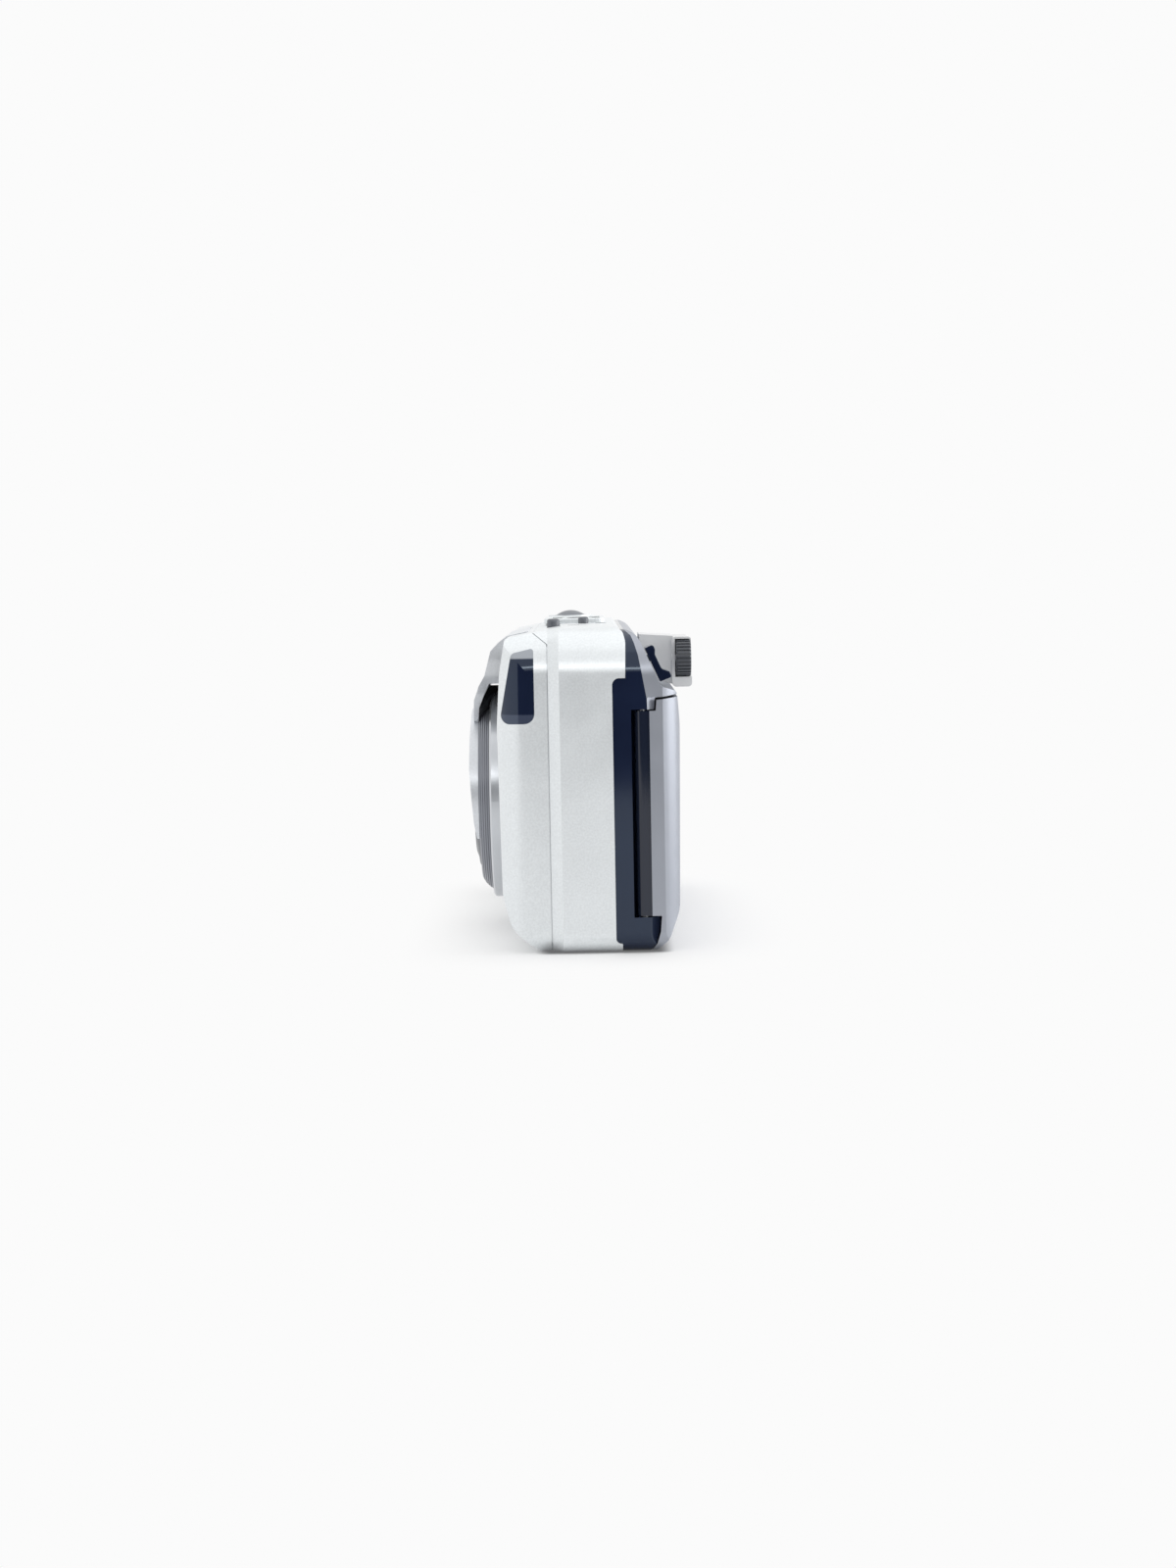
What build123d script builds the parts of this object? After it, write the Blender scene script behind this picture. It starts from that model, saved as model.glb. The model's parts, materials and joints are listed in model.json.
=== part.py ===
from build123d import *
import math
import os

os.makedirs("parts", exist_ok=True)

# Compact zoom camera for 35 mm film. The lens faces -Y and the base is the plane Z = 0. The origin is the
# mouth of the tripod socket. +X is the end with the film door's hinge. All sizes are in millimetres.

# Case
case_length = 118.0
case_height = 70.0
front_y = -19.5
rear_y = 20.0
top_corner = 10.5
base_corner = 4.5
front_corner = 8.0
rear_corner = 6.5
chin_height = 12.0
chin_depth = 8.9
brow_depth = 2.1
slope_top = 1.7
slope_height = 12.8
ledge_depth = 4.0
front_step = 2.0
shell_wall = 1.4
rear_wall = 1.6
rear_recess = 0.6
seam_y = -8.2
seam_chamfer = 2.4
groove_width = 0.22
groove_depth = 0.4
split_y = 5.5
split_top_y = 8.3
notch_z = case_height - 10.8
base_split_y = 6.9
base_step = 2.1
frame_y = 12.9
lip_y = 15.1
lip_height = 7.7
gap = 0.3
slip = 0.05

# Film door and its hinge
door_wall = 1.8
door_top = case_height - 17.6
tab_y = 14.4
tab_top = case_height - 15.2
hinge_inset = 1.9
hinge_y = 11.9
knuckle_radius = 1.75
pin_radius = 0.75
hinge_clearance = 3.1
trough_wall = 0.7
pin_seat = 2.4

# Lens
lens_x = 10.0
lens_z = 31.0
bezel_radius = 24.3
bezel_width = 1.4
bezel_front = -22.1
bezel_depth = 6.1
surround_rear = -17.0
surround_edge = -21.8
surround_front = -24.9
barrel_radius = 17.2
barrel_wall = 1.3
barrel_gap = 0.35
barrel_front = -25.3
barrel_length = 23.3
inner_front = -26.1
inner_length = 22.0
inner_wall = 1.25
housing_wall = 1.25
housing_rear = 3.2
aperture_radius = 6.2
blade_thickness = 0.4
cell_front = -23.4
cell_length = 6.6
shutter_radius = 4.4

# Front bridge
bridge_half_width = 24.0
ridge_outer = 19.9
ridge_inner = 17.9
ridge_front = -26.8

# Film path
gate_width = 36.0
gate_height = 24.0
film_width = 35.0
plate_y = 11.4
plate_thickness = 1.2
rail_height = 0.3
deck_z = 7.8
deck_thickness = 1.0
cartridge_x = -24.2
chamber_y = 1.6
cartridge_bore = 12.9
chamber_wall = 0.9
cartridge_top = 57.4
spool_x = case_length / 2 - 15.7
spool_bore = 12.3
spool_chamber_top = 52.3
spool_radius = 7.2
spool_wall = 1.0
tail_radius = 3.2
gear_module = 0.5
spool_teeth = 36
idler_teeth = 12
reduction_teeth = 34
pinion_teeth = 14
fork_teeth = 24
shaft_radius = 0.75
axle_radius = 1.0
mask_thickness = 0.8
mask_height = 7.0

# Battery
battery_x = 10.8 - case_length / 2
battery_y = -0.2
battery_radius = 7.8
battery_length = 27.0
battery_floor = 3.0
battery_wall = 0.8
battery_door_thickness = 2.0

# Finder
finder_x = 8.0
finder_z = case_height - 8.1
finder_width = 16.0
finder_height = 8.8
finder_wall = 1.2
finder_front = -15.4
finder_back = 9.0
eyepiece_rear = 24.2
eyepiece_bottom = finder_z - 6.6
eyepiece_top = finder_z + 4.8
eyepiece_block = 4.5
wheel_radius = 4.3
wheel_width = 3.4
wheel_x = 18.8

# Controls on the deck and the slope
shutter_x = 21.0 - case_length / 2
shutter_y = -3.6
shutter_button_radius = 3.7
shutter_top = case_height + 2.3
ring_radius = 5.5
ring_wall = 1.45
flash_button_x = 30.0
flash_button_y = -7.1
flash_button_radius = 1.45
timer_button_x = 12.0
timer_button_y = -0.4
timer_button_radius = 1.2
button_top = case_height + 1.5
lcd_left = -20.0
lcd_right = 8.0
lcd_front = -9.0
lcd_back = 4.1
lcd_top = case_height + 1.0
lcd_seat = case_height - 0.8
slider_x = case_length / 2 - 14.5
slider_length = 9.0
slider_travel = 6.0

# Flash, boards, latch, socket and lug
flash_left = case_length / 2 - 33.0
flash_right = flash_left + 21.0
flash_bottom = case_height - 18.5
flash_height = 12.5
tube_radius = 1.25
capacitor_radius = 6.0
capacitor_length = 21.0
board_thickness = 0.9
latch_z = 31.0
latch_height = 12.0
latch_travel = 4.0
window_plane = -20.6
grip_left = 3.5 - case_length / 2
grip_width = 20.0
grip_low = 10.0
grip_high = case_height - 13.0
grip_thickness = 1.6
socket_radius = 2.6
socket_depth = 5.5
socket_outer = 4.2
lug_reach = 3.0
screw_radius = 0.9
screw_head = 1.6
screw_boss = 1.7
screw_length = 4.8

# Places worked out from the sizes above
half = case_length / 2
dark_half = half - rear_recess
hinge_x = dark_half - hinge_inset
hinge_low = lip_height + gap
hinge_high = door_top - gap
surround_radius = bezel_radius - bezel_width - slip
housing_radius = barrel_radius + barrel_gap
inner_radius = barrel_radius - barrel_wall - barrel_gap
lens_bore = inner_radius - inner_wall
gate_left = lens_x - gate_width / 2
gate_right = lens_x + gate_width / 2
gate_low = lens_z - gate_height / 2
gate_high = lens_z + gate_height / 2
plate_rear = plate_y + plate_thickness
gear_distance = gear_module * (spool_teeth + idler_teeth) / 2
reduction_x = spool_x - gear_distance
reach = case_length
lens_axis = Axis((lens_x, 0, lens_z), (0, 1, 0))


# Tools: solids that the pieces are cut from or cut with


def side_prism(points, low, high, radii=None):
    """Solid whose side outline is a list of (y, z) points, from x = low to x = high."""
    with BuildPart() as prism:
        with BuildSketch(Plane.YZ.offset(low)):
            with BuildLine():
                FilletPolyline(*points, radius=radii or [0] * len(points), close=True)
            make_face()
        extrude(amount=high - low)
    return prism.part


def front_prism(points, front, back, radii=None):
    """Solid whose front outline is a list of (x, z) points, from y = front to y = back."""
    with BuildPart() as prism:
        with BuildSketch(Plane.XZ.offset(-front)):
            with BuildLine():
                FilletPolyline(*points, radius=radii or [0] * len(points), close=True)
            make_face()
        extrude(amount=front - back)
    return prism.part


def plan_prism(points, low, high, radii=None):
    """Solid whose plan outline is a list of (x, y) points, from z = low to z = high."""
    with BuildPart() as prism:
        with BuildSketch(Plane.XY.offset(low)):
            with BuildLine():
                FilletPolyline(*points, radius=radii or [0] * len(points), close=True)
            make_face()
        extrude(amount=high - low)
    return prism.part


def block(x, y, z):
    """Box between two limits on each axis."""
    return plan_prism([(x[0], y[0]), (x[1], y[0]), (x[1], y[1]), (x[0], y[1])], z[0], z[1])


def upright(x, y, radius, low, high):
    """Cylinder along Z."""
    with BuildPart() as rod:
        with BuildSketch(Plane.XY.offset(low)):
            with Locations((x, y)):
                Circle(radius)
        extrude(amount=high - low)
    return rod.part


def level(x, z, radius, front, back):
    """Cylinder along Y."""
    with BuildPart() as rod:
        with BuildSketch(Plane.XZ.offset(-front)):
            with Locations((x, z)):
                Circle(radius)
        extrude(amount=front - back)
    return rod.part


def across(y, z, radius, left, right):
    """Cylinder along X."""
    with BuildPart() as rod:
        with BuildSketch(Plane.YZ.offset(left)):
            with Locations((y, z)):
                Circle(radius)
        extrude(amount=right - left)
    return rod.part


def lens_ring(profile):
    """Solid of revolution about the lens axis, from a closed list of (radius, y) points."""
    with BuildPart() as ring:
        with BuildSketch(Plane.XY.offset(lens_z)):
            with BuildLine():
                Polyline(*[(lens_x + radius, y) for radius, y in profile], close=True)
            make_face()
        revolve(axis=lens_axis)
    return ring.part


def lens_element(radius, front_middle, front_rim, rear_rim, rear_middle):
    """Lens on the lens axis, from the y of its middle and rim in front and behind."""
    with BuildPart() as element:
        with BuildSketch(Plane.XY.offset(lens_z)):
            with BuildLine():
                ThreePointArc((lens_x - radius, front_rim), (lens_x, front_middle), (lens_x + radius, front_rim))
                Line((lens_x + radius, front_rim), (lens_x + radius, rear_rim))
                ThreePointArc((lens_x + radius, rear_rim), (lens_x, rear_middle), (lens_x - radius, rear_rim))
                Line((lens_x - radius, rear_rim), (lens_x - radius, front_rim))
            make_face()
            with Locations((lens_x - reach / 2, 0)):
                Rectangle(reach, 2 * reach, mode=Mode.SUBTRACT)
        revolve(axis=lens_axis)
    return element.part


def front_outline(side, top, inset):
    """Front outline of the case with its rounded corners."""
    with BuildSketch() as outline:
        with BuildLine():
            FilletPolyline(
                (-side, 0),
                (side, 0),
                (side, top),
                (-side, top),
                radius=[base_corner, base_corner, top_corner, top_corner],
                close=True,
            )
        make_face()
        offset(amount=-inset, kind=Kind.INTERSECTION)
    return outline.sketch


def case_form(recess, inset):
    """Outer form of the whole case. Recess pulls in its ends and top, inset offsets it all round."""
    side = half - recess
    top = case_height - recess
    seam_end = seam_y + seam_chamfer
    with BuildPart() as form:
        with BuildSketch(Plane.XZ.offset(-seam_y)):
            add(front_outline(side - front_step, top, inset))
        with BuildSketch(Plane.XZ.offset(-seam_end)):
            add(front_outline(side, top, inset))
        loft(ruled=True)
        with BuildSketch(Plane.XZ.offset(-seam_y)):
            add(front_outline(side - front_step, top, inset))
        extrude(amount=reach)
        with BuildSketch(Plane.XZ.offset(-seam_end)):
            add(front_outline(side, top, inset))
        extrude(amount=-reach)
        with BuildSketch(Plane.YZ):
            with BuildLine():
                FilletPolyline(
                    (front_y + chin_depth, 0),
                    (front_y + 2.6, 5.2),
                    (front_y + 0.6, chin_height),
                    (front_y, case_height - 21),
                    (front_y + 0.8, case_height - 9.5),
                    (front_y + brow_depth, case_height - 2.2),
                    (front_y + 13.5, case_height),
                    (rear_y - 12.8, case_height),
                    (rear_y - 9, case_height - slope_top),
                    (rear_y - ledge_depth, case_height - slope_height),
                    (rear_y - 0.6, case_height - slope_height - 1.1),
                    (rear_y, case_height - 21),
                    (rear_y - 0.6, 9),
                    (rear_y - 3, 2.8),
                    (rear_y - 6, 0),
                    radius=[3, 6, 10, 30, 20, 0.9, 25, 4, 4, 1.0, 1.2, 20, 9, 5, 1.5],
                    close=True,
                )
            make_face()
            offset(amount=-inset, kind=Kind.INTERSECTION)
        extrude(amount=reach, both=True, mode=Mode.INTERSECT)
        with BuildSketch(Plane.XY):
            with BuildLine():
                FilletPolyline(
                    (half - front_step, front_y - 0.2),
                    (half - front_step, seam_y - 1),
                    (half + 4, seam_y - 1),
                    (half + 4, 0),
                    (half, 0),
                    (half, rear_y),
                    (-half, rear_y),
                    (-half, 0),
                    (-half - 4, 0),
                    (-half - 4, seam_y - 1),
                    (front_step - half, seam_y - 1),
                    (front_step - half, front_y - 0.2),
                    radius=[front_corner, 0, 0, 0, 0, rear_corner, rear_corner, 0, 0, 0, 0, front_corner],
                    close=True,
                )
            make_face()
            offset(amount=-inset, kind=Kind.INTERSECTION)
        extrude(amount=reach, both=True, mode=Mode.INTERSECT)
    return form.part


silver_form = case_form(0, 0)
silver_cavity = case_form(0, shell_wall)
dark_form = case_form(rear_recess, 0)
dark_cavity = case_form(rear_recess, rear_wall)

# Lines where one cover meets the next, seen from the end, from the top down
seam_line = [(-12.5, case_height + 2), (-11.6, case_height - 0.8), (seam_y, case_height - 3.5), (seam_y, -1)]
shell_edge = [
    (6.4, case_height + 2),
    (6.4, case_height + 0.2),
    (8.0, case_height - 1.1),
    (8.5, case_height - 3.1),
    (split_top_y, notch_z),
    (split_y, notch_z),
    (split_y, base_step),
    (base_split_y, base_step),
    (base_split_y, -1),
]
shell_edge_radii = [0, 0.4, 1.2, 3, 0, 1.5, 1.1, 0.3, 0]
cap_line = [
    (7.0, case_height + 2),
    (7.0, case_height + 0.5),
    (9.7, case_height - 1.9),
    (10.4, case_height - 3.6),
    (11.1, case_height - 5.9),
    (11.7, case_height - 9.0),
    (frame_y - 0.1, tab_top),
    (frame_y, door_top),
]
lip_line = [(lip_y, lip_height), (lip_y - 0.3, 4.4), (lip_y - 1.0, 1.9), (frame_y, 0.1)]
door_line = [(frame_y + gap, 0.3), (lip_y - 0.7, 2.0), (lip_y, 4.5), (lip_y + gap, hinge_low)]

hinge_void = upright(hinge_x, hinge_y, hinge_clearance, lip_height, door_top)
hinge_rod = upright(hinge_x, hinge_y, pin_radius, lip_height - pin_seat, door_top + pin_seat)
rear_plan = plan_prism(
    [
        (-dark_half, 0),
        (dark_half, 0),
        (dark_half, frame_y),
        (hinge_x + 0.1, lip_y),
        (-hinge_x - 0.1, lip_y),
        (-dark_half, frame_y),
    ],
    0,
    tab_top + 0.5,
)

# Covers

# Corner window outline on the end of the front shell
window_outline = [
    (front_y + 3.5, case_height - 5.3),
    (seam_y - 3.0, case_height - 4.2),
    (seam_y - 3.0, case_height - 20.3),
    (front_y + 0.6, case_height - 20.5),
]
window_radii = [1.2, 0.6, 2.2, 1.9]
window_prism = side_prism(window_outline, half - 11, half + 2, window_radii)

flash_prism = front_prism(
    [
        (flash_left, flash_bottom),
        (flash_right, flash_bottom),
        (flash_right, flash_bottom + flash_height),
        (flash_left, flash_bottom + flash_height),
    ],
    front_y - 5,
    front_y + 8,
    [1.5] * 4,
)
finder_light = block(
    (finder_x - finder_width / 2 + 1.5, finder_x + finder_width / 2 - 1.5),
    (front_y - 8, finder_front),
    (finder_z - finder_height / 2 + 1.0, finder_z + finder_height / 2 - 1.2),
)
focus_light = block((-11.5, -3.5), (front_y - 8, finder_front), (finder_z - 3.2, finder_z + 2.4))

front_board_y = -15.2
front_posts = [(-33.0, 49.5), (-14.5, 15.5)]
front_zone = side_prism(
    [(front_y - 10, -1), (seam_y, -1)] + seam_line[::-1][1:] + [(front_y - 10, case_height + 10)], -reach, reach
)
groove_line = [(y - groove_width, z) for y, z in seam_line]
seam_groove = (side_prism(seam_line + groove_line[::-1], -reach, reach) & silver_form) - case_form(0, groove_depth)
with BuildPart() as front_shell:
    add(silver_form)
    add(silver_cavity, mode=Mode.SUBTRACT)
    add(front_zone, mode=Mode.INTERSECT)
    add(level(lens_x, lens_z, bezel_radius + slip, front_y - 5, seam_y), mode=Mode.SUBTRACT)
    add(window_prism, mode=Mode.SUBTRACT)
    add(flash_prism, mode=Mode.SUBTRACT)
    add(finder_light, mode=Mode.SUBTRACT)
    add(focus_light, mode=Mode.SUBTRACT)
    add(seam_groove, mode=Mode.SUBTRACT)
    for x, z in front_posts:
        add(level(x, z, 1.5, front_y + 1, front_board_y) & silver_form)
front_shell.part.label = "front_shell"
export_step(front_shell.part, "parts/front_shell.step")

with BuildPart() as corner_window:
    add(silver_form)
    add(silver_cavity, mode=Mode.SUBTRACT)
    add(front_zone, mode=Mode.INTERSECT)
    add(window_prism, mode=Mode.INTERSECT)
corner_window.part.label = "corner_window"
export_step(corner_window.part, "parts/corner_window.step")

with BuildPart() as flash_window:
    add(silver_form)
    add(silver_cavity, mode=Mode.SUBTRACT)
    add(flash_prism, mode=Mode.INTERSECT)
flash_window.part.label = "flash_window"
export_step(flash_window.part, "parts/flash_window.step")

main_zone = side_prism(seam_line[::-1] + shell_edge, -reach, reach, [0, 0, 0, 0] + shell_edge_radii)
lcd_pocket = block((lcd_left, lcd_right), (lcd_front, lcd_back), (lcd_seat, case_height + 3))
lcd_hole = block(
    (lcd_left + 1, lcd_right - 1), (lcd_front + 1, lcd_back - 1), (case_height - 4, case_height + 3)
)
battery_hatch = block(
    (battery_x - battery_radius - 0.6, battery_x + battery_radius + 0.6),
    (battery_y - battery_radius - 0.1, battery_y + battery_radius + 0.1),
    (-1, battery_floor - 0.4),
)
hatch_pin_x = battery_x + battery_radius + 0.6
hatch_pin_z = 1.4
hatch_pin_radius = 0.5
hatch_knuckle = 1.15
hatch_half = battery_radius - 2.6
hatch_ear = 1.6
hatch_sweep = 2.0
hatch_reach = hatch_half + gap
ear_outline = [
    (hatch_pin_x - 1.2, hatch_pin_z - 0.6),
    (hatch_pin_x - 0.6, hatch_pin_z - 1.2),
    (hatch_pin_x + 1.6, hatch_pin_z - 1.2),
    (hatch_pin_x + 1.6, hatch_pin_z + 1.5),
    (hatch_pin_x - 1.2, hatch_pin_z + 1.5),
]
hatch_rod = level(
    hatch_pin_x,
    hatch_pin_z,
    hatch_pin_radius,
    battery_y - hatch_reach - hatch_ear,
    battery_y + hatch_reach + hatch_ear,
)
hatch_void = level(
    hatch_pin_x, hatch_pin_z, hatch_sweep, battery_y - hatch_reach, battery_y + hatch_reach
)
main_screws = [(-34.0, -6.0), (20.0, -6.5)]
rear_screws = [(-34.0, 9.3), (18.0, 9.3)]
board_posts = [(-43.0, 4.2), (-24.0, 4.9)]
board_z = case_height - 4.6

with BuildPart() as main_shell:
    add(silver_form)
    add(silver_cavity, mode=Mode.SUBTRACT)
    add(main_zone, mode=Mode.INTERSECT)
    for x, y in board_posts:
        add(upright(x, y, 1.5, board_z + board_thickness, case_height - shell_wall + 0.2))
    add(lcd_pocket, mode=Mode.SUBTRACT)
    add(lcd_hole, mode=Mode.SUBTRACT)
    add(upright(shutter_x, shutter_y, ring_radius - 0.7, case_height - 5, case_height + 5), mode=Mode.SUBTRACT)
    for x, y, radius in (
        (flash_button_x, flash_button_y, flash_button_radius),
        (timer_button_x, timer_button_y, timer_button_radius),
    ):
        add(upright(x, y, radius + gap, case_height - 5, case_height + 5), mode=Mode.SUBTRACT)
    add(battery_hatch, mode=Mode.SUBTRACT)
    for side in (-1, 1):
        ear_y = battery_y + side * (hatch_reach + hatch_ear / 2)
        add(front_prism(ear_outline, ear_y - hatch_ear / 2, ear_y + hatch_ear / 2))
    add(hatch_void, mode=Mode.SUBTRACT)
    add(hatch_rod, mode=Mode.SUBTRACT)
    add(upright(0, 0, socket_outer, -1, shell_wall + 1), mode=Mode.SUBTRACT)
    add(block((-socket_outer, socket_outer), (0, base_split_y + 1), (-1, shell_wall + 1)), mode=Mode.SUBTRACT)
    for x, y in main_screws:
        add(upright(x, y, screw_radius, -1, shell_wall + 1), mode=Mode.SUBTRACT)
        add(upright(x, y, screw_head, -1, 0.9), mode=Mode.SUBTRACT)
main_shell.part.label = "main_shell"
export_step(main_shell.part, "parts/main_shell.step")

# The rear body is the dark ring behind the main shell. It holds both ends of the door's hinge pin.
rear_zone = side_prism(
    shell_edge + [(frame_y, -1)] + cap_line[::-1], -reach, reach, shell_edge_radii + [0] * (1 + len(cap_line))
)
lip_zone = side_prism(
    [(frame_y - rear_wall, 0)] + lip_line[::-1] + [(frame_y - rear_wall, lip_height)], -reach, reach
)
latch_slot = block(
    (-half - 3, 4 - half), (7.7, 10.3), (latch_z - 2.3, latch_z + 2.3 + latch_travel)
)
with BuildPart() as rear_body:
    add(dark_form)
    add(dark_cavity, mode=Mode.SUBTRACT)
    add(rear_zone, mode=Mode.INTERSECT)
    lip = dark_form & lip_zone & rear_plan
    add(lip)
    for low, high in ((0, lip_height), (door_top, door_top + pin_seat + 1)):
        boss = block((hinge_x - 3.2, half), (hinge_y - hinge_clearance, frame_y), (low, high))
        add(boss & dark_form & (rear_zone + lip_zone))
    trough = upright(hinge_x, hinge_y, hinge_clearance + trough_wall, lip_height, door_top)
    add(trough & dark_form & rear_zone)
    add(hinge_void, mode=Mode.SUBTRACT)
    add(hinge_rod, mode=Mode.SUBTRACT)
    add(latch_slot, mode=Mode.SUBTRACT)
    add(battery_hatch, mode=Mode.SUBTRACT)
    for x, y in rear_screws:
        add(upright(x, y, screw_radius, -1, rear_wall + 1), mode=Mode.SUBTRACT)
        add(upright(x, y, screw_head, -1, 0.9), mode=Mode.SUBTRACT)
rear_body.part.label = "rear_body"
export_step(rear_body.part, "parts/rear_body.step")

# The rear cap is the sloped cover above the door
cap_zone = side_prism(
    cap_line + [(tab_y, door_top), (tab_y + 0.2, tab_top), (rear_y + 2, tab_top + 1.1), (rear_y + 2, 90)],
    -reach,
    reach,
)
cap_floor = block((-reach, reach), (-reach, reach), (tab_top + 2.6, reach))
slope_start = (rear_y - 9, case_height - slope_top)
slope_end = (rear_y - ledge_depth, case_height - slope_height)
slope_angle = math.degrees(math.atan2(slope_end[1] - slope_start[1], slope_end[0] - slope_start[0]))
slope_middle = ((slope_start[0] + slope_end[0]) / 2, (slope_start[1] + slope_end[1]) / 2)


def slope_plane(x, lift=0.0, drop=0.0):
    """Plane on the rear slope, drop below its middle. Its x direction is +X and its normal leaves the slope."""
    down = math.radians(slope_angle)
    origin = (x, slope_middle[0] + drop * math.cos(down), slope_middle[1] + drop * math.sin(down))
    normal = (0, -math.sin(down), math.cos(down))
    return Plane(origin=origin, x_dir=(1, 0, 0), z_dir=normal).offset(lift)


slider_stem = 1.6
with BuildPart() as slider_slot:
    with BuildSketch(slope_plane(slider_x - slider_travel / 2)):
        SlotCenterToCenter(slider_travel, slider_stem + 2 * gap)
    extrude(amount=4, both=True)

eyepiece_left = finder_x - 9.5
eyepiece_right = wheel_x + 1.5
with BuildPart() as eyepiece_outer:
    neck = side_prism(
        [
            (12.3, finder_z - 4.6),
            (rear_y, finder_z - 6.0),
            (rear_y, case_height - 3.1),
            (12.3, case_height - 2.6),
        ],
        eyepiece_left + 1,
        eyepiece_right - 1.5,
    )
    add(neck)
    head = side_prism(
        [
            (eyepiece_rear - eyepiece_block, eyepiece_bottom),
            (eyepiece_rear, eyepiece_bottom),
            (eyepiece_rear, eyepiece_top),
            (eyepiece_rear - eyepiece_block, eyepiece_top),
        ],
        eyepiece_left,
        eyepiece_right,
        [0.9] * 4,
    )
    add(head)
with BuildPart() as rear_cap:
    add(dark_form)
    add(cap_zone, mode=Mode.INTERSECT)
    add(dark_cavity & cap_floor, mode=Mode.SUBTRACT)
    below = block((-reach, reach), (-reach, reach), (0, tab_top + 0.2)) - rear_plan
    add(below, mode=Mode.SUBTRACT)
    add(eyepiece_outer.part, mode=Mode.SUBTRACT)
    add(slider_slot.part, mode=Mode.SUBTRACT)
rear_cap.part.label = "rear_cap"
export_step(rear_cap.part, "parts/rear_cap.step")

# Film door with its hinge knuckle, guide posts for the pressure plate and a window for the film's label
door_zone = side_prism(
    door_line
    + [
        (frame_y + gap, hinge_low),
        (frame_y + gap, hinge_high),
        (tab_y + gap, hinge_high),
        (tab_y + gap + 0.2, tab_top - 0.4),
        (rear_y + 2, tab_top + 0.4),
        (rear_y + 2, 0.3),
    ],
    -reach,
    reach,
)
film_window_prism = front_prism(
    [
        (cartridge_x - 4, lens_z - 13),
        (cartridge_x + 4, lens_z - 13),
        (cartridge_x + 4, lens_z + 13),
        (cartridge_x - 4, lens_z + 13),
    ],
    plate_rear,
    rear_y + 2,
    [2] * 4,
)
door_posts = [(lens_x - gate_width / 2 - 3, lens_z), (lens_x + gate_width / 2 + 3, lens_z)]
door_cavity = case_form(rear_recess, door_wall) & block(
    (-reach, reach), (-reach, reach), (door_wall, hinge_high)
)
with BuildPart() as film_door:
    add(dark_form)
    add(door_zone, mode=Mode.INTERSECT)
    add(door_cavity, mode=Mode.SUBTRACT)
    add(upright(hinge_x, hinge_y, knuckle_radius, hinge_low, hinge_high))
    add(block((hinge_x - 1.2, hinge_x + knuckle_radius - slip), (hinge_y, lip_y), (hinge_low, hinge_high)))
    for x, z in door_posts:
        add(level(x, z, 1.2, frame_y + 0.8, rear_y - 1))
    add(upright(hinge_x, hinge_y, pin_radius + slip, 0, case_height), mode=Mode.SUBTRACT)
    add(film_window_prism, mode=Mode.SUBTRACT)
film_door.part.label = "film_door"
export_step(film_door.part, "parts/film_door.step")

with BuildPart() as film_window:
    add(dark_form)
    add(door_cavity, mode=Mode.SUBTRACT)
    add(film_window_prism, mode=Mode.INTERSECT)
film_window.part.label = "film_window"
export_step(film_window.part, "parts/film_window.step")

with BuildPart() as hinge_pins:
    add(hinge_rod)
    add(hatch_rod)
hinge_pins.part.label = "hinge_pins"
export_step(hinge_pins.part, "parts/hinge_pins.step")

# Lens surround, bezel and bridge


def surround_profile(grow):
    """Section of the lens surround as (radius, y) points, thickened in front by grow."""
    edge = surround_radius + grow
    return [
        (housing_radius - grow, surround_rear),
        (edge, surround_rear),
        (edge, surround_edge - grow),
        (surround_radius - 0.8, surround_edge - 1.3 - grow),
        (surround_radius - 1.8, surround_edge - 2.3 - grow),
        (surround_radius - 2.9, surround_front + 0.2 - grow),
        (housing_radius - grow, surround_front - grow),
    ]


# Grooves round the flank of the surround: how far in from its edge each one's floor is, and how far forward
rib_places = [(0.55, 0.3), (0.85, 0.8), (1.2, 1.3), (1.65, 1.8), (2.25, 2.3)]
rib_width = 0.22
with BuildPart() as lens_surround:
    add(lens_ring(surround_profile(0)))
    for inward, forward in rib_places:
        groove = [
            (surround_radius - inward, surround_edge - forward),
            (surround_radius + 1, surround_edge - forward),
            (surround_radius + 1, surround_edge - forward - rib_width),
            (surround_radius - inward, surround_edge - forward - rib_width),
        ]
        add(lens_ring(groove), mode=Mode.SUBTRACT)
lens_surround.part.label = "lens_surround"
export_step(lens_surround.part, "parts/lens_surround.step")

bezel_inner = bezel_radius - bezel_width
with BuildPart() as lens_bezel:
    profile = [
        (bezel_inner, bezel_front + bezel_depth),
        (bezel_radius, bezel_front + bezel_depth),
        (bezel_radius, bezel_front + 0.4),
        (bezel_radius - 0.4, bezel_front),
        (bezel_inner, bezel_front),
    ]
    add(lens_ring(profile))
lens_bezel.part.label = "lens_bezel"
export_step(lens_bezel.part, "parts/lens_bezel.step")

lens_envelope = lens_ring(
    [
        (0, surround_rear),
        (bezel_radius + gap, surround_rear),
        (bezel_radius + gap, bezel_front - gap),
        (surround_radius + slip, bezel_front - gap),
        (surround_radius + slip - 0.8, surround_edge - 1.3 - slip),
        (surround_radius + slip - 1.8, surround_edge - 2.3 - slip),
        (surround_radius - 2.9, surround_front + 0.2 - slip),
        (housing_radius, surround_front - slip),
        (0, surround_front - slip),
    ]
)
band_low = lens_z + 17.0
band_high = case_height - 10.9


def band_z(share):
    """Height on the steep part of the band, from its lower end at 0 to the brow at 1."""
    return band_low + share * (band_high - band_low)


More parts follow.
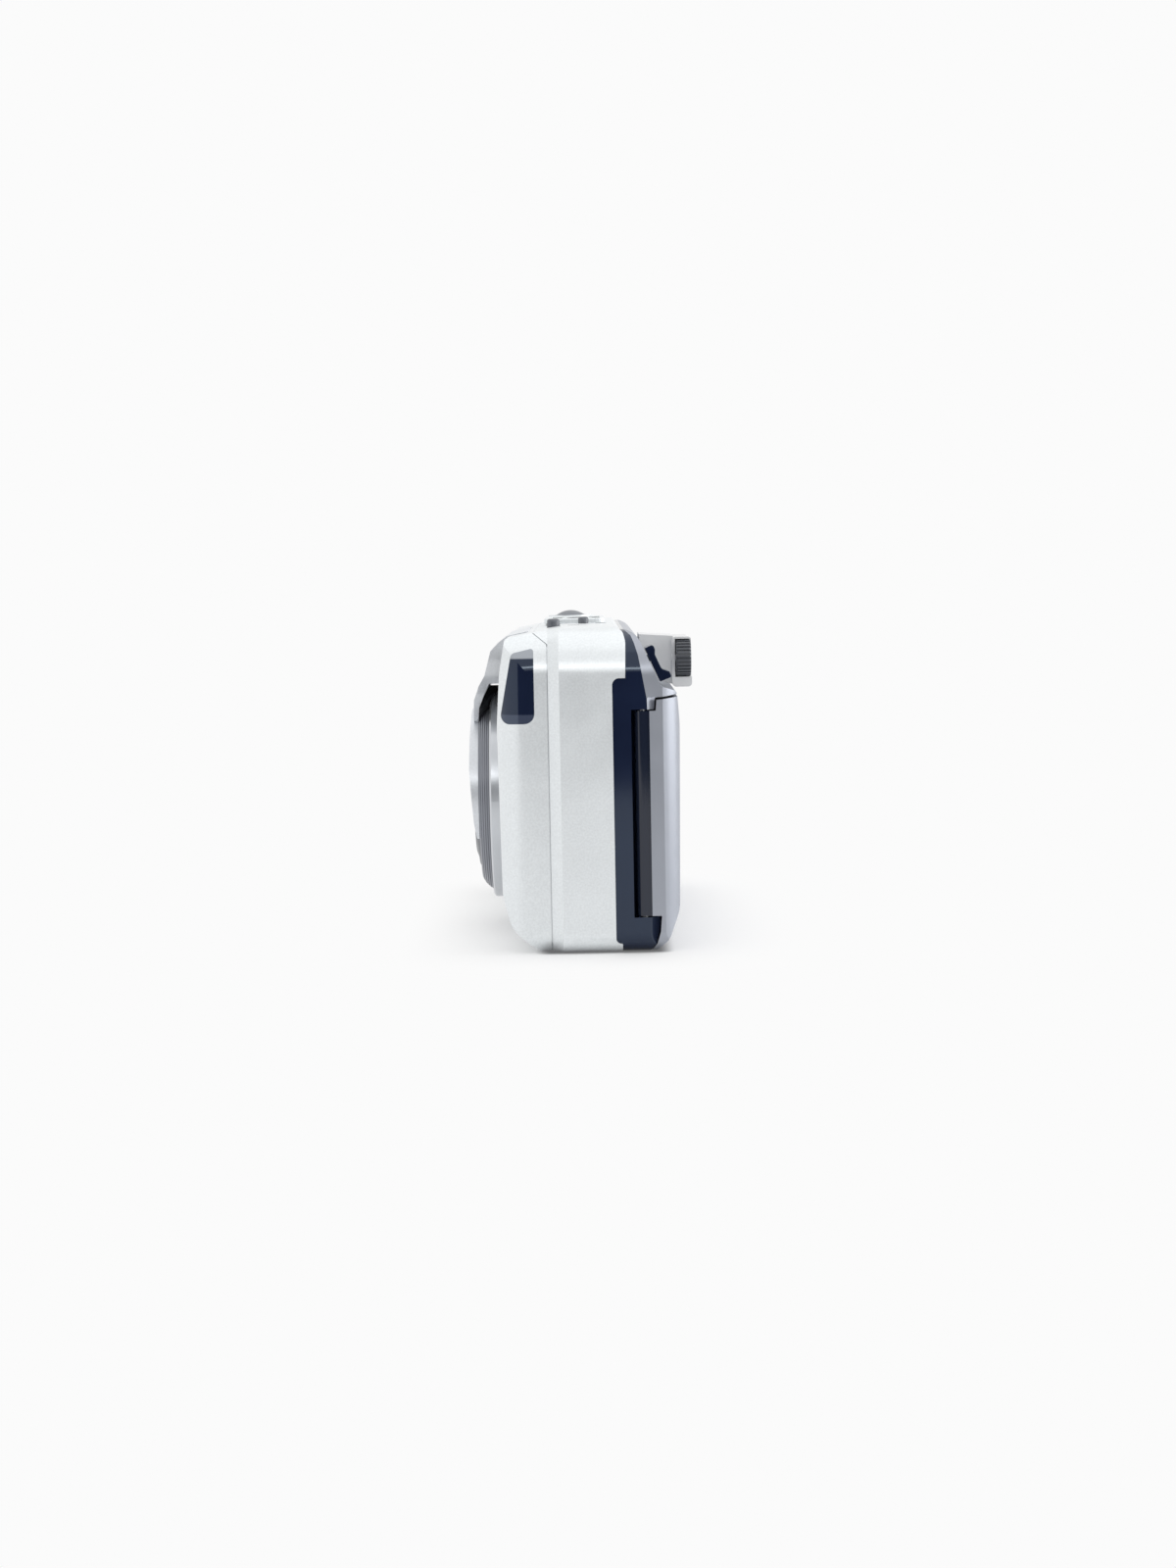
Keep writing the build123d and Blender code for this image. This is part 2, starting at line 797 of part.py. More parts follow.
band_side = [
    (-12.8, case_height - 1.1),
    (-15.2, case_height - 1.6),
    (-17.5, case_height - 2.1),
    (front_y, case_height - 3.6),
    (-21.2, case_height - 5.4),
    (-22.7, band_high),
    (-24.2, band_z(0.775)),
    (-25.5, band_z(0.468)),
    (-25.8, band_low),
    (-24.8, band_low),
    (-24.4, band_z(0.306)),
    (-23.2, band_z(0.577)),
    (-21.8, band_z(0.829)),
    (-10.0, band_z(0.829)),
    (-10.0, case_height - 4.0),
]
band_front = [
    (lens_x - bridge_half_width, case_height + 2),
    (lens_x - bridge_half_width, case_height - 10),
    (lens_x - bridge_half_width * 0.7, lens_z + 24),
    (lens_x - ridge_outer * 0.55, band_low),
    (lens_x + ridge_outer * 0.55, band_low),
    (lens_x + bridge_half_width * 0.7, lens_z + 24),
    (lens_x + bridge_half_width, case_height - 10),
    (lens_x + bridge_half_width, case_height + 2),
]
ridge_side = [
    (surround_front + 3, lens_z - 9.0),
    (surround_front - 0.4, lens_z - 9.0),
    (ridge_front + 0.9, lens_z - 5.5),
    (ridge_front + 0.4, lens_z + 1.2),
    (ridge_front, lens_z + 6.7),
    (ridge_front + 0.1, lens_z + 13.6),
    (ridge_front + 0.4, lens_z + ridge_outer),
    (surround_front + 3, lens_z + ridge_outer),
]
with BuildPart() as front_bridge:
    add(side_prism(band_side, lens_x - bridge_half_width, lens_x + bridge_half_width))
    add(front_prism(band_front, front_y - 12, 0, [0, 6, 4, 3, 3, 4, 6, 0]), mode=Mode.INTERSECT)
    add(level(lens_x, lens_z, ridge_inner, front_y - 12, 0), mode=Mode.SUBTRACT)
    ridge = level(lens_x, lens_z, ridge_outer, front_y - 12, surround_front + 3)
    ridge = ridge - level(lens_x, lens_z, ridge_inner, front_y - 13, surround_front + 4)
    add(ridge & side_prism(ridge_side, -reach, reach, [0, 0.3, 4, 8, 8, 8, 0.4, 0]))
    add(lens_envelope, mode=Mode.SUBTRACT)
    add(silver_form, mode=Mode.SUBTRACT)
    add(finder_light, mode=Mode.SUBTRACT)
    add(focus_light, mode=Mode.SUBTRACT)
front_bridge.part.label = "front_bridge"
export_step(front_bridge.part, "parts/front_bridge.step")


# The front windows close the finder and focus openings in the bridge
with BuildPart() as front_windows:
    for opening in (finder_light, focus_light):
        box = opening.bounding_box()
        add(block((box.min.X, box.max.X), (window_plane, window_plane + 1.0), (box.min.Z, box.max.Z)))
front_windows.part.label = "front_windows"
export_step(front_windows.part, "parts/front_windows.step")

pad_outline = [
    (grip_left, grip_low),
    (grip_left + grip_width, grip_low),
    (grip_left + grip_width, grip_high),
    (grip_left, grip_high),
]
with BuildPart() as grip_pad:
    add(case_form(0, -grip_thickness))
    add(silver_form, mode=Mode.SUBTRACT)
    add(front_prism(pad_outline, front_y - 6, front_y + 7, [6] * 4), mode=Mode.INTERSECT)
grip_pad.part.label = "grip_pad"
export_step(grip_pad.part, "parts/grip_pad.step")

# Eyepiece housing with its light tunnel, the moving eyepiece lens and the knurled diopter wheel
tunnel_width = 11.0
tunnel_height = 7.4
tunnel = block(
    (finder_x - tunnel_width / 2, finder_x + tunnel_width / 2),
    (0, eyepiece_rear + 1),
    (finder_z - tunnel_height / 2, finder_z + tunnel_height / 2),
)
wheel_front = eyepiece_rear - 0.2 - wheel_width
with BuildPart() as eyepiece_housing:
    add(eyepiece_outer.part)
    add(level(wheel_x, finder_z, wheel_radius + gap, wheel_front - 0.2, eyepiece_rear + 1), mode=Mode.SUBTRACT)
    add(level(wheel_x, finder_z, axle_radius, wheel_front - 1, eyepiece_rear - 0.8))
    add(tunnel, mode=Mode.SUBTRACT)
eyepiece_housing.part.label = "eyepiece_housing"
export_step(eyepiece_housing.part, "parts/eyepiece_housing.step")

eyepiece_lens_rear = eyepiece_rear - 1.3
with BuildPart() as eyepiece_lens:
    with BuildSketch(Plane.XZ.offset(1.6 - eyepiece_lens_rear)):
        with Locations((finder_x, finder_z)):
            RectangleRounded(tunnel_width - 2 * gap, tunnel_height - 2 * gap, 0.8)
    extrude(amount=-1.6)
    fillet(eyepiece_lens.faces().sort_by(Axis.Y)[-1].edges(), 0.5)
eyepiece_lens.part.label = "eyepiece_lens"
export_step(eyepiece_lens.part, "parts/eyepiece_lens.step")

knurl_count = 30
knurl_depth = 0.3
with BuildPart() as diopter_wheel:
    add(level(wheel_x, finder_z, wheel_radius, wheel_front, wheel_front + wheel_width))
    chamfer(diopter_wheel.edges().filter_by(GeomType.CIRCLE), 0.3)
    add(level(wheel_x, finder_z, axle_radius + slip, wheel_front - 1, eyepiece_rear + 1), mode=Mode.SUBTRACT)
    with BuildSketch(Plane.XZ.offset(-wheel_front)):
        with Locations((wheel_x, finder_z)):
            with PolarLocations(wheel_radius, knurl_count):
                Rectangle(2 * knurl_depth, 0.4)
    extrude(amount=-wheel_width, mode=Mode.SUBTRACT)
diopter_wheel.part.label = "diopter_wheel"
export_step(diopter_wheel.part, "parts/diopter_wheel.step")

# Slide switch on the rear slope: a saddle with a raised upper end, a hooked lower end and its stem in the slot
slab_half = 4.0
slab_drop = 1.5
saddle_thickness = 1.5
upper_lip = 2.0
hook_height = 2.8
slab_plane = slope_plane(slider_x - slider_length / 2, gap, slab_drop)
with BuildPart() as format_slider:
    with BuildSketch(Plane(origin=slab_plane.origin, x_dir=slab_plane.y_dir, z_dir=(1, 0, 0))):
        with BuildLine():
            FilletPolyline(
                (-slab_half, 0),
                (slab_half, 0),
                (slab_half + 0.2, hook_height),
                (slab_half - 1.1, hook_height),
                (slab_half - 2.4, saddle_thickness),
                (2.2 - slab_half, saddle_thickness),
                (1.2 - slab_half, upper_lip),
                (-slab_half, upper_lip),
                radius=[0.2, 0.2, 0.5, 0.5, 0.9, 0.9, 0.4, 0.6],
                close=True,
            )
        make_face()
    extrude(amount=slider_length)
    fillet(format_slider.faces().filter_by(Axis.X).edges(), 0.15)
    with BuildSketch(slope_plane(slider_x, -2.4)):
        Circle(slider_stem / 2)
    extrude(amount=2.4 + gap + 0.3)
format_slider.part.label = "format_slider"
export_step(format_slider.part, "parts/format_slider.step")

# Fixed lens housing with the light baffle behind it
baffle_wall = 1.0
baffle_rear = 9.2
flange_half = gate_width / 2 + 1.5
with BuildPart() as lens_housing:
    outer = housing_radius + housing_wall
    add(
        lens_ring(
            [
                (housing_radius, surround_rear),
                (surround_radius, surround_rear),
                (surround_radius, surround_rear + 1.4),
                (outer, surround_rear + 1.4),
                (outer, housing_rear),
                (housing_radius, housing_rear),
            ]
        )
    )
    with BuildSketch(Plane.XZ.offset(-housing_rear)):
        with Locations((lens_x, lens_z)):
            RectangleRounded(2 * flange_half, 2 * flange_half, 3)
            Circle(housing_radius - 3, mode=Mode.SUBTRACT)
    extrude(amount=1.2)
    with BuildSketch(Plane.XZ.offset(-housing_rear)):
        with Locations((lens_x, lens_z)):
            Rectangle(gate_width + 2 * baffle_wall, gate_height + 2 * baffle_wall)
            Rectangle(gate_width, gate_height, mode=Mode.SUBTRACT)
    extrude(amount=housing_rear - baffle_rear)
lens_housing.part.label = "lens_housing"
export_step(lens_housing.part, "parts/lens_housing.step")

# Outer and inner barrels, parked
barrel_inner = barrel_radius - barrel_wall
with BuildPart() as outer_barrel:
    add(
        lens_ring(
            [
                (barrel_inner, barrel_front),
                (barrel_radius - 0.5, barrel_front),
                (barrel_radius, barrel_front + 0.3),
                (barrel_radius, barrel_front + barrel_length),
                (barrel_inner, barrel_front + barrel_length),
            ]
        )
    )
outer_barrel.part.label = "outer_barrel"
export_step(outer_barrel.part, "parts/outer_barrel.step")

cap_rear = inner_front + 1.7
with BuildPart() as inner_barrel:
    add(
        lens_ring(
            [
                (aperture_radius, inner_front + 1.3),
                (aperture_radius + 2.2, inner_front + 0.9),
                (inner_radius - 3.6, inner_front),
                (inner_radius - 1.6, inner_front + 0.1),
                (inner_radius, inner_front + 0.7),
                (inner_radius, inner_front + inner_length),
                (lens_bore, inner_front + inner_length),
                (lens_bore, cap_rear),
                (aperture_radius, cap_rear),
            ]
        )
    )
inner_barrel.part.label = "inner_barrel"
export_step(inner_barrel.part, "parts/inner_barrel.step")


def shutter_leaf(radius, pivot_out, pivot_up, front, side):
    """Half disc with a pivot ear, flat at y = front. Side 1 is the upper leaf, -1 the lower one."""
    with BuildPart() as leaf:
        with BuildSketch(Plane.XZ.offset(-front)):
            with Locations((lens_x, lens_z)):
                Circle(radius)
            with Locations((lens_x - side * pivot_out * 0.8, lens_z + side * pivot_up)):
                Rectangle(pivot_out * 0.4, 1.8)
            with Locations((lens_x - side * pivot_out, lens_z + side * pivot_up)):
                Circle(1.1)
            with Locations((lens_x, lens_z - side * (radius + 2 - 0.1))):
                Rectangle(4 * radius, 2 * radius + 4, mode=Mode.SUBTRACT)
            with Locations((lens_x - side * pivot_out, lens_z + side * pivot_up)):
                Circle(leaf_bore, mode=Mode.SUBTRACT)
        extrude(amount=-blade_thickness)
    return leaf


leaf_pin = 0.5
leaf_bore = leaf_pin + slip
cover_pivot_out = 9.5
cover_pivot_up = 1.3
cover_y = cap_rear + 0.25
cover_radius = aperture_radius + 0.3
cover_blade_upper = shutter_leaf(cover_radius, cover_pivot_out, cover_pivot_up, cover_y, 1)
cover_blade_upper.part.label = "cover_blade_upper"
export_step(cover_blade_upper.part, "parts/cover_blade_upper.step")
cover_blade_lower = shutter_leaf(cover_radius, cover_pivot_out, cover_pivot_up, cover_y, -1)
cover_blade_lower.part.label = "cover_blade_lower"
export_step(cover_blade_lower.part, "parts/cover_blade_lower.step")

# The front cell carries the front lens, the shutter plate and the pins of both pairs of leaves
front_glass_radius = 8.8
shutter_y_front = cell_front + cell_length
shutter_pivot_out = 8.0
shutter_pivot_up = 1.3
with BuildPart() as front_lens_cell:
    add(
        lens_ring(
            [
                (front_glass_radius, cell_front),
                (lens_bore, cell_front),
                (lens_bore, shutter_y_front),
                (shutter_radius + 0.6, shutter_y_front),
                (shutter_radius + 0.6, shutter_y_front - 1.0),
                (front_glass_radius, shutter_y_front - 1.0),
            ]
        )
    )
    for side in (1, -1):
        pin_x = lens_x - side * cover_pivot_out
        pin_z = lens_z + side * cover_pivot_up
        add(level(pin_x, pin_z, leaf_pin, cap_rear, cell_front + 1))
        pin_x = lens_x - side * shutter_pivot_out
        pin_z = lens_z + side * shutter_pivot_up
        add(level(pin_x, pin_z, leaf_pin, shutter_y_front - 0.5, shutter_y_front + 0.9))
front_lens_cell.part.label = "front_lens_cell"
export_step(front_lens_cell.part, "parts/front_lens_cell.step")

leaf_y = shutter_y_front + 0.2
shutter_blade_upper = shutter_leaf(shutter_radius + 0.8, shutter_pivot_out, shutter_pivot_up, leaf_y, 1)
shutter_blade_upper.part.label = "shutter_blade_upper"
export_step(shutter_blade_upper.part, "parts/shutter_blade_upper.step")
shutter_blade_lower = shutter_leaf(shutter_radius + 0.8, shutter_pivot_out, shutter_pivot_up, leaf_y, -1)
shutter_blade_lower.part.label = "shutter_blade_lower"
export_step(shutter_blade_lower.part, "parts/shutter_blade_lower.step")

with BuildPart() as front_lens:
    add(lens_element(front_glass_radius, cell_front - 0.1, cell_front + 1.2, cell_front + 3.6, cell_front + 2.6))
front_lens.part.label = "front_lens"
export_step(front_lens.part, "parts/front_lens.step")

rear_cell_front = -11.0
rear_glass_radius = 8.4
barrel_rear = barrel_front + barrel_length
with BuildPart() as rear_lens_cell:
    add(
        lens_ring(
            [
                (rear_glass_radius, rear_cell_front),
                (rear_glass_radius + 1.6, rear_cell_front),
                (rear_glass_radius + 1.6, barrel_rear - 1.4),
                (barrel_inner, barrel_rear - 1.4),
                (barrel_inner, barrel_rear),
                (rear_glass_radius, barrel_rear),
            ]
        )
    )
rear_lens_cell.part.label = "rear_lens_cell"
export_step(rear_lens_cell.part, "parts/rear_lens_cell.step")

with BuildPart() as rear_lens:
    add(
        lens_element(
            rear_glass_radius,
            rear_cell_front + 2.0,
            rear_cell_front + 0.8,
            rear_cell_front + 4.6,
            rear_cell_front + 3.6,
        )
    )
rear_lens.part.label = "rear_lens"
export_step(rear_lens.part, "parts/rear_lens.step")

# Chassis: one moulding with the film gate, both film chambers and the battery tube

chamber_floor = deck_z + deck_thickness
deck_rear = frame_y - rear_wall - 0.1
mask_y = plate_y - 1.0 - mask_thickness
tube_top = battery_floor + battery_length + 3.0
capacitor_left = spool_x - capacitor_length / 2 + 0.5
capacitor_y = -1.5
capacitor_z = spool_chamber_top + deck_thickness + capacitor_radius + gap
with BuildPart() as chassis:
    add(block((cartridge_x, spool_x), (plate_y, plate_rear), (deck_z, spool_chamber_top)))
    add(block((cartridge_x, spool_x), (chamber_y - 10, deck_rear), (deck_z, chamber_floor)))
    add(upright(cartridge_x, chamber_y, cartridge_bore + chamber_wall, deck_z, cartridge_top + deck_thickness))
    add(
        block(
            (cartridge_x - cartridge_bore - chamber_wall, cartridge_x + cartridge_bore + chamber_wall),
            (chamber_y, plate_rear),
            (deck_z, cartridge_top + deck_thickness),
        )
    )
    add(upright(spool_x, chamber_y, spool_bore + chamber_wall, deck_z, spool_chamber_top + deck_thickness))
    add(
        block(
            (spool_x - spool_bore - chamber_wall, spool_x),
            (chamber_y, plate_rear),
            (deck_z, spool_chamber_top + deck_thickness),
        )
    )
    add(upright(battery_x, battery_y, battery_radius + 0.2 + battery_wall, battery_floor, tube_top))
    add(block((battery_x, cartridge_x - cartridge_bore), (-2, 2), (deck_z, tube_top)))
    for x, y in ((lens_x + 2, -5), (lens_x + 2, 4)):
        add(upright(x, y, 2, shell_wall, deck_z))
    for floor, places in ((shell_wall, main_screws), (rear_wall, rear_screws)):
        for x, y in places:
            add(upright(x, y, screw_boss, floor, deck_z + 0.2))
            add(upright(x, y, screw_radius, floor - 1, deck_z), mode=Mode.SUBTRACT)
    add(upright(reduction_x, chamber_y, axle_radius, 2.2, deck_z))
    for x in (capacitor_left + 3, capacitor_left + capacitor_length - 5):
        saddle = block((x, x + 2), (capacitor_y - 3.5, capacitor_y + 3.5), (spool_chamber_top, capacitor_z - 3.5))
        add(saddle - across(capacitor_y, capacitor_z, capacitor_radius + slip, x - 1, x + 3))
    for x in (gate_left - 2.0, gate_right + 1.3):
        add(block((x, x + 0.7), (mask_y - 0.4, plate_y), (chamber_floor, spool_chamber_top)))
    add(upright(cartridge_x, chamber_y, cartridge_bore, chamber_floor, cartridge_top), mode=Mode.SUBTRACT)
    add(
        block(
            (cartridge_x - cartridge_bore, cartridge_x + cartridge_bore),
            (chamber_y, frame_y + 1),
            (chamber_floor, cartridge_top),
        ),
        mode=Mode.SUBTRACT,
    )
    add(upright(spool_x, chamber_y, spool_bore, chamber_floor, spool_chamber_top), mode=Mode.SUBTRACT)
    add(
        block(
            (spool_x - spool_bore, spool_x + 6.5),
            (chamber_y, frame_y + 1),
            (chamber_floor, spool_chamber_top),
        ),
        mode=Mode.SUBTRACT,
    )
    add(
        block((gate_left, gate_right), (0, frame_y + 1), (gate_low, gate_high)),
        mode=Mode.SUBTRACT,
    )
    add(
        upright(battery_x, battery_y, battery_radius + 0.2, battery_floor - 1, tube_top - 1),
        mode=Mode.SUBTRACT,
    )
    add(block((-reach, reach), (plate_rear, reach), (0, case_height)), mode=Mode.SUBTRACT)
    chamber_roof = spool_chamber_top + deck_thickness
    add(block((-reach, reach), (plate_rear - 0.8, reach), (chamber_roof, case_height)), mode=Mode.SUBTRACT)
    add(
        block(
            (hinge_x - 3.2 - gap, half),
            (hinge_y - hinge_clearance - gap, frame_y),
            (spool_chamber_top - 0.2, case_height),
        ),
        mode=Mode.SUBTRACT,
    )
    add(upright(spool_x, chamber_y, tail_radius + gap, 0, chamber_floor + 0.1), mode=Mode.SUBTRACT)
    add(upright(cartridge_x, chamber_y, tail_radius + gap, 0, chamber_floor + 0.1), mode=Mode.SUBTRACT)
    add(
        upright(hinge_x, hinge_y, hinge_clearance + trough_wall + slip, 0, case_height),
        mode=Mode.SUBTRACT,
    )
    with BuildSketch(Plane.XZ.offset(-plate_rear)):
        for offset_z in (-film_width / 2, -gate_height / 2 - 1.6, gate_height / 2 + 1.6, film_width / 2):
            with Locations((lens_x, lens_z + offset_z)):
                Rectangle(gate_width + 1, 1.0)
    extrude(amount=-rail_height)
chassis.part.label = "chassis"
export_step(chassis.part, "parts/chassis.step")

# Film transport: spool with its gear, compound reduction gear, motor in the spool, and rewind fork


def gear_part(x, y, teeth, phase, bore, low, high):
    """Spur gear about Z. Phase is the angle of one tooth in degrees."""
    pitch_radius = gear_module * teeth / 2
    root = pitch_radius - 1.25 * gear_module
    tip = pitch_radius + 0.85 * gear_module
    root_angle = 0.26 * math.pi * gear_module / root
    tip_angle = 0.09 * math.pi * gear_module / tip
    outline = []
    for tooth in range(teeth):
        middle = math.radians(phase + 360 * tooth / teeth)
        for radius, offset_angle in (
            (root, -root_angle),
            (tip, -tip_angle),
            (tip, tip_angle),
            (root, root_angle),
        ):
            angle = middle + offset_angle
            outline.append((x + radius * math.cos(angle), y + radius * math.sin(angle)))
    with BuildPart() as gear:
        with BuildSketch(Plane.XY.offset(low)):
            with BuildLine():
                Polyline(*outline, close=True)
            make_face()
            with Locations((x, y)):
                Circle(bore, mode=Mode.SUBTRACT)
        extrude(amount=high - low)
    return gear.part


spool_floor = chamber_floor + gap
gear_low = 4.0
gear_high = 6.0
pinion_low = 2.4
pinion_high = 3.4
with BuildPart() as take_up_spool:
    add(upright(spool_x, chamber_y, spool_radius, spool_floor, spool_chamber_top - 1.5))
    add(
        upright(spool_x, chamber_y, spool_radius - spool_wall, spool_floor + 1, spool_chamber_top),
        mode=Mode.SUBTRACT,
    )
    add(upright(spool_x, chamber_y, tail_radius, gear_low - 0.3, spool_floor + 0.5))
    add(gear_part(spool_x, chamber_y, spool_teeth, 0, shaft_radius + gap, gear_low, gear_high))
    for turn in range(3):
        angle = math.radians(120 * turn)
        x = spool_x + spool_radius * math.cos(angle)
        y = chamber_y + spool_radius * math.sin(angle)
        for z in (lens_z - 14, lens_z + 14):
            add(upright(x, y, 0.7, z - 0.8, z + 0.8))
    add(upright(spool_x, chamber_y, shaft_radius + gap, 0, spool_floor + 2), mode=Mode.SUBTRACT)
take_up_spool.part.label = "take_up_spool"
export_step(take_up_spool.part, "parts/take_up_spool.step")

with BuildPart() as reduction_gear:
    phase = 180 / reduction_teeth
    add(gear_part(reduction_x, chamber_y, reduction_teeth, phase, axle_radius + slip, pinion_low, pinion_high))
    phase = 180 / idler_teeth
    add(gear_part(reduction_x, chamber_y, idler_teeth, phase, axle_radius + slip, pinion_high, gear_high))
reduction_gear.part.label = "reduction_gear"
export_step(reduction_gear.part, "parts/reduction_gear.step")

motor_bottom = spool_floor + 11
with BuildPart() as film_motor:
    add(upright(spool_x, chamber_y, spool_radius - spool_wall - 0.6, motor_bottom, spool_chamber_top))
    add(upright(spool_x, chamber_y, 2.2, motor_bottom - 1.5, motor_bottom))
    add(upright(spool_x, chamber_y, shaft_radius + slip, 0, motor_bottom + 3), mode=Mode.SUBTRACT)
film_motor.part.label = "film_motor"
export_step(film_motor.part, "parts/film_motor.step")

with BuildPart() as motor_pinion:
    add(gear_part(spool_x, chamber_y, pinion_teeth, 0, shaft_radius - slip, pinion_low, pinion_high))
    add(upright(spool_x, chamber_y, shaft_radius, pinion_low, motor_bottom + 2.5))
motor_pinion.part.label = "motor_pinion"
export_step(motor_pinion.part, "parts/motor_pinion.step")

with BuildPart() as rewind_fork:
    add(upright(cartridge_x, chamber_y, tail_radius, gear_low - 1.2, chamber_floor + gap))
    add(upright(cartridge_x, chamber_y, 4.8, chamber_floor + gap, chamber_floor + 1.1))
    add(gear_part(cartridge_x, chamber_y, fork_teeth, 0, 1.0, gear_low - 1.2, gear_high - 0.6))
    prong = block(
        (cartridge_x - 2.4, cartridge_x + 2.4), (chamber_y - 0.6, chamber_y + 0.6), (chamber_floor, chamber_floor + 4)
    )
    add(prong & upright(cartridge_x, chamber_y, 2.2, chamber_floor + 0.5, chamber_floor + 4))
    add(upright(cartridge_x, chamber_y, 1.0, 0, chamber_floor + 5), mode=Mode.SUBTRACT)
rewind_fork.part.label = "rewind_fork"
export_step(rewind_fork.part, "parts/rewind_fork.step")

# Panorama masks, parked above and below the gate
mask_left = gate_left - 1.0
mask_right = gate_right + 1.0
mask_low = gate_high + baffle_wall + 0.2
for name, low in (("format_mask_upper", mask_low), ("format_mask_lower", 2 * lens_z - mask_low - mask_height)):
    with BuildPart() as format_mask:
        add(block((mask_left, mask_right), (mask_y, mask_y + mask_thickness), (low, low + mask_height)))
    format_mask.part.label = name
    export_step(format_mask.part, f"parts/{name}.step")

# Pressure plate on the door, and the leaf spring behind it
plate_front = plate_rear + rail_height + 0.35
with BuildPart() as pressure_plate:
    plate_sides = (gate_left - 6, gate_right + 6)
    add(block(plate_sides, (plate_front, plate_front + 1.2), (lens_z - film_width / 2, lens_z + film_width / 2)))
    fillet(pressure_plate.edges().filter_by(Axis.Y), 2)
    for x, z in door_posts:
        add(level(x, z, 1.5, plate_front - 1, rear_y), mode=Mode.SUBTRACT)
pressure_plate.part.label = "pressure_plate"
export_step(pressure_plate.part, "parts/pressure_plate.step")

spring_thickness = 0.3
spring_y = plate_front + 2.15
spring_back = rear_y - door_wall - 0.8
with BuildPart() as plate_spring:
    with BuildSketch(Plane.XY.offset(lens_z - 4)):
        with BuildLine():
            Polyline(
                (lens_x - 14, spring_y),
                (lens_x - 5, spring_back),
                (lens_x + 5, spring_back),
                (lens_x + 14, spring_y),
            )
            offset(amount=spring_thickness / 2, side=Side.BOTH)
        make_face()
    extrude(amount=8)
plate_spring.part.label = "plate_spring"
export_step(plate_spring.part, "parts/plate_spring.step")

# Latch on the far end: ribbed knob outside, stem through the slot, hook inside the door
with BuildPart() as door_latch:
    add(
        block(
            (-half - 0.9, -dark_half - gap),
            (6.6, 11.4),
            (latch_z - latch_height / 2, latch_z + latch_height / 2),
        )
    )
    fillet(door_latch.edges().filter_by(Axis.X), 1)
    for rib in range(5):
        z = latch_z + (rib - 2) * 1.6
        add(block((-half - 1.2, -half), (7.4, 10.6), (z - 0.35, z + 0.35)))
    add(block((-dark_half - 1, -dark_half + rear_wall + 0.5), (8, 10), (latch_z - 2, latch_z + 2)))
    hook_x = -dark_half + door_wall + 0.3
    add(block((hook_x, hook_x + 1), (8, frame_y + 1.6), (latch_z - 4, latch_z + 4)))
door_latch.part.label = "door_latch"
export_step(door_latch.part, "parts/door_latch.step")

# Battery, its door and its contacts
hatch_top = 0.2 + battery_door_thickness
with BuildPart() as battery_door:
    plate_left = battery_x - battery_radius - 0.6 + gap
    plate_half = battery_radius + 0.1 - gap
    add(
        block(
            (plate_left, hatch_pin_x - 1.2 - gap),
            (battery_y - plate_half, battery_y + plate_half),
            (0.2, hatch_top),
        )
    )
    add(block((battery_x, hatch_pin_x), (battery_y - hatch_half, battery_y + hatch_half), (0.4, hatch_top)))
    add(level(hatch_pin_x, hatch_pin_z, hatch_knuckle, battery_y - hatch_half, battery_y + hatch_half))
    add(
        level(hatch_pin_x, hatch_pin_z, hatch_pin_radius + slip, battery_y - 10, battery_y + 10),
        mode=Mode.SUBTRACT,
    )
battery_door.part.label = "battery_door"
export_step(battery_door.part, "parts/battery_door.step")

battery_low = hatch_top + 0.7
with BuildPart() as battery:
    add(upright(battery_x, battery_y, battery_radius, battery_low, battery_low + battery_length))
    fillet(battery.edges().filter_by(GeomType.CIRCLE), 0.8)
    add(upright(battery_x, battery_y, 3.0, battery_low + battery_length - 0.5, battery_low + battery_length + 0.8))
battery.part.label = "battery"
export_step(battery.part, "parts/battery.step")

with BuildPart() as battery_contact:
    add(upright(battery_x, battery_y, 5.0, battery_low + battery_length + 0.8, tube_top - 1))
battery_contact.part.label = "battery_contact"
export_step(battery_contact.part, "parts/battery_contact.step")

with BuildPart() as tripod_socket:
    add(upright(0, 0, socket_outer, 0, socket_depth + 1.5))
    add(upright(0, 0, socket_outer + 1.3, shell_wall, shell_wall + 0.8))
    add(block((slip - socket_outer, socket_outer - slip), (0, base_split_y - slip), (0, shell_wall)))
    add(upright(0, 0, socket_radius, -1, socket_depth), mode=Mode.SUBTRACT)
tripod_socket.part.label = "tripod_socket"
export_step(tripod_socket.part, "parts/tripod_socket.step")

lug_bar = 1.5
lug_low = 44.0
lug_high = 54.0
with BuildPart() as strap_lug:
    add(block((-half - lug_reach, -half), (-3.2, -1.2), (lug_low, lug_high)))
    add(
        block((-half - lug_reach + lug_bar, -half), (-4, 0), (lug_low + lug_bar, lug_high - lug_bar)),
        mode=Mode.SUBTRACT,
    )
    fillet(strap_lug.edges().filter_by(Axis.Y).group_by(Axis.X)[0], 0.7)
strap_lug.part.label = "strap_lug"
export_step(strap_lug.part, "parts/strap_lug.step")

# Deck: LCD, shutter button with its zoom ring, and two buttons
with BuildPart() as lcd_window:
    with BuildSketch(Plane.YZ.offset(lcd_left)):
        with BuildLine():
            Line((lcd_back, lcd_seat), (lcd_front, lcd_seat))
            Line((lcd_front, lcd_seat), (lcd_front, lcd_top - 0.9))
            ThreePointArc(
                (lcd_front, lcd_top - 0.9), ((lcd_front + lcd_back) / 2, lcd_top), (lcd_back, lcd_top - 0.7)
            )
            Line((lcd_back, lcd_top - 0.7), (lcd_back, lcd_seat))
        make_face()
    extrude(amount=lcd_right - lcd_left)
    fillet(lcd_window.edges().group_by(Axis.X)[-1].group_by(Axis.Z)[-1], 0.5)
    fillet(lcd_window.edges().group_by(Axis.X)[0].group_by(Axis.Z)[-1], 0.5)
lcd_window.part.label = "lcd_window"
export_step(lcd_window.part, "parts/lcd_window.step")

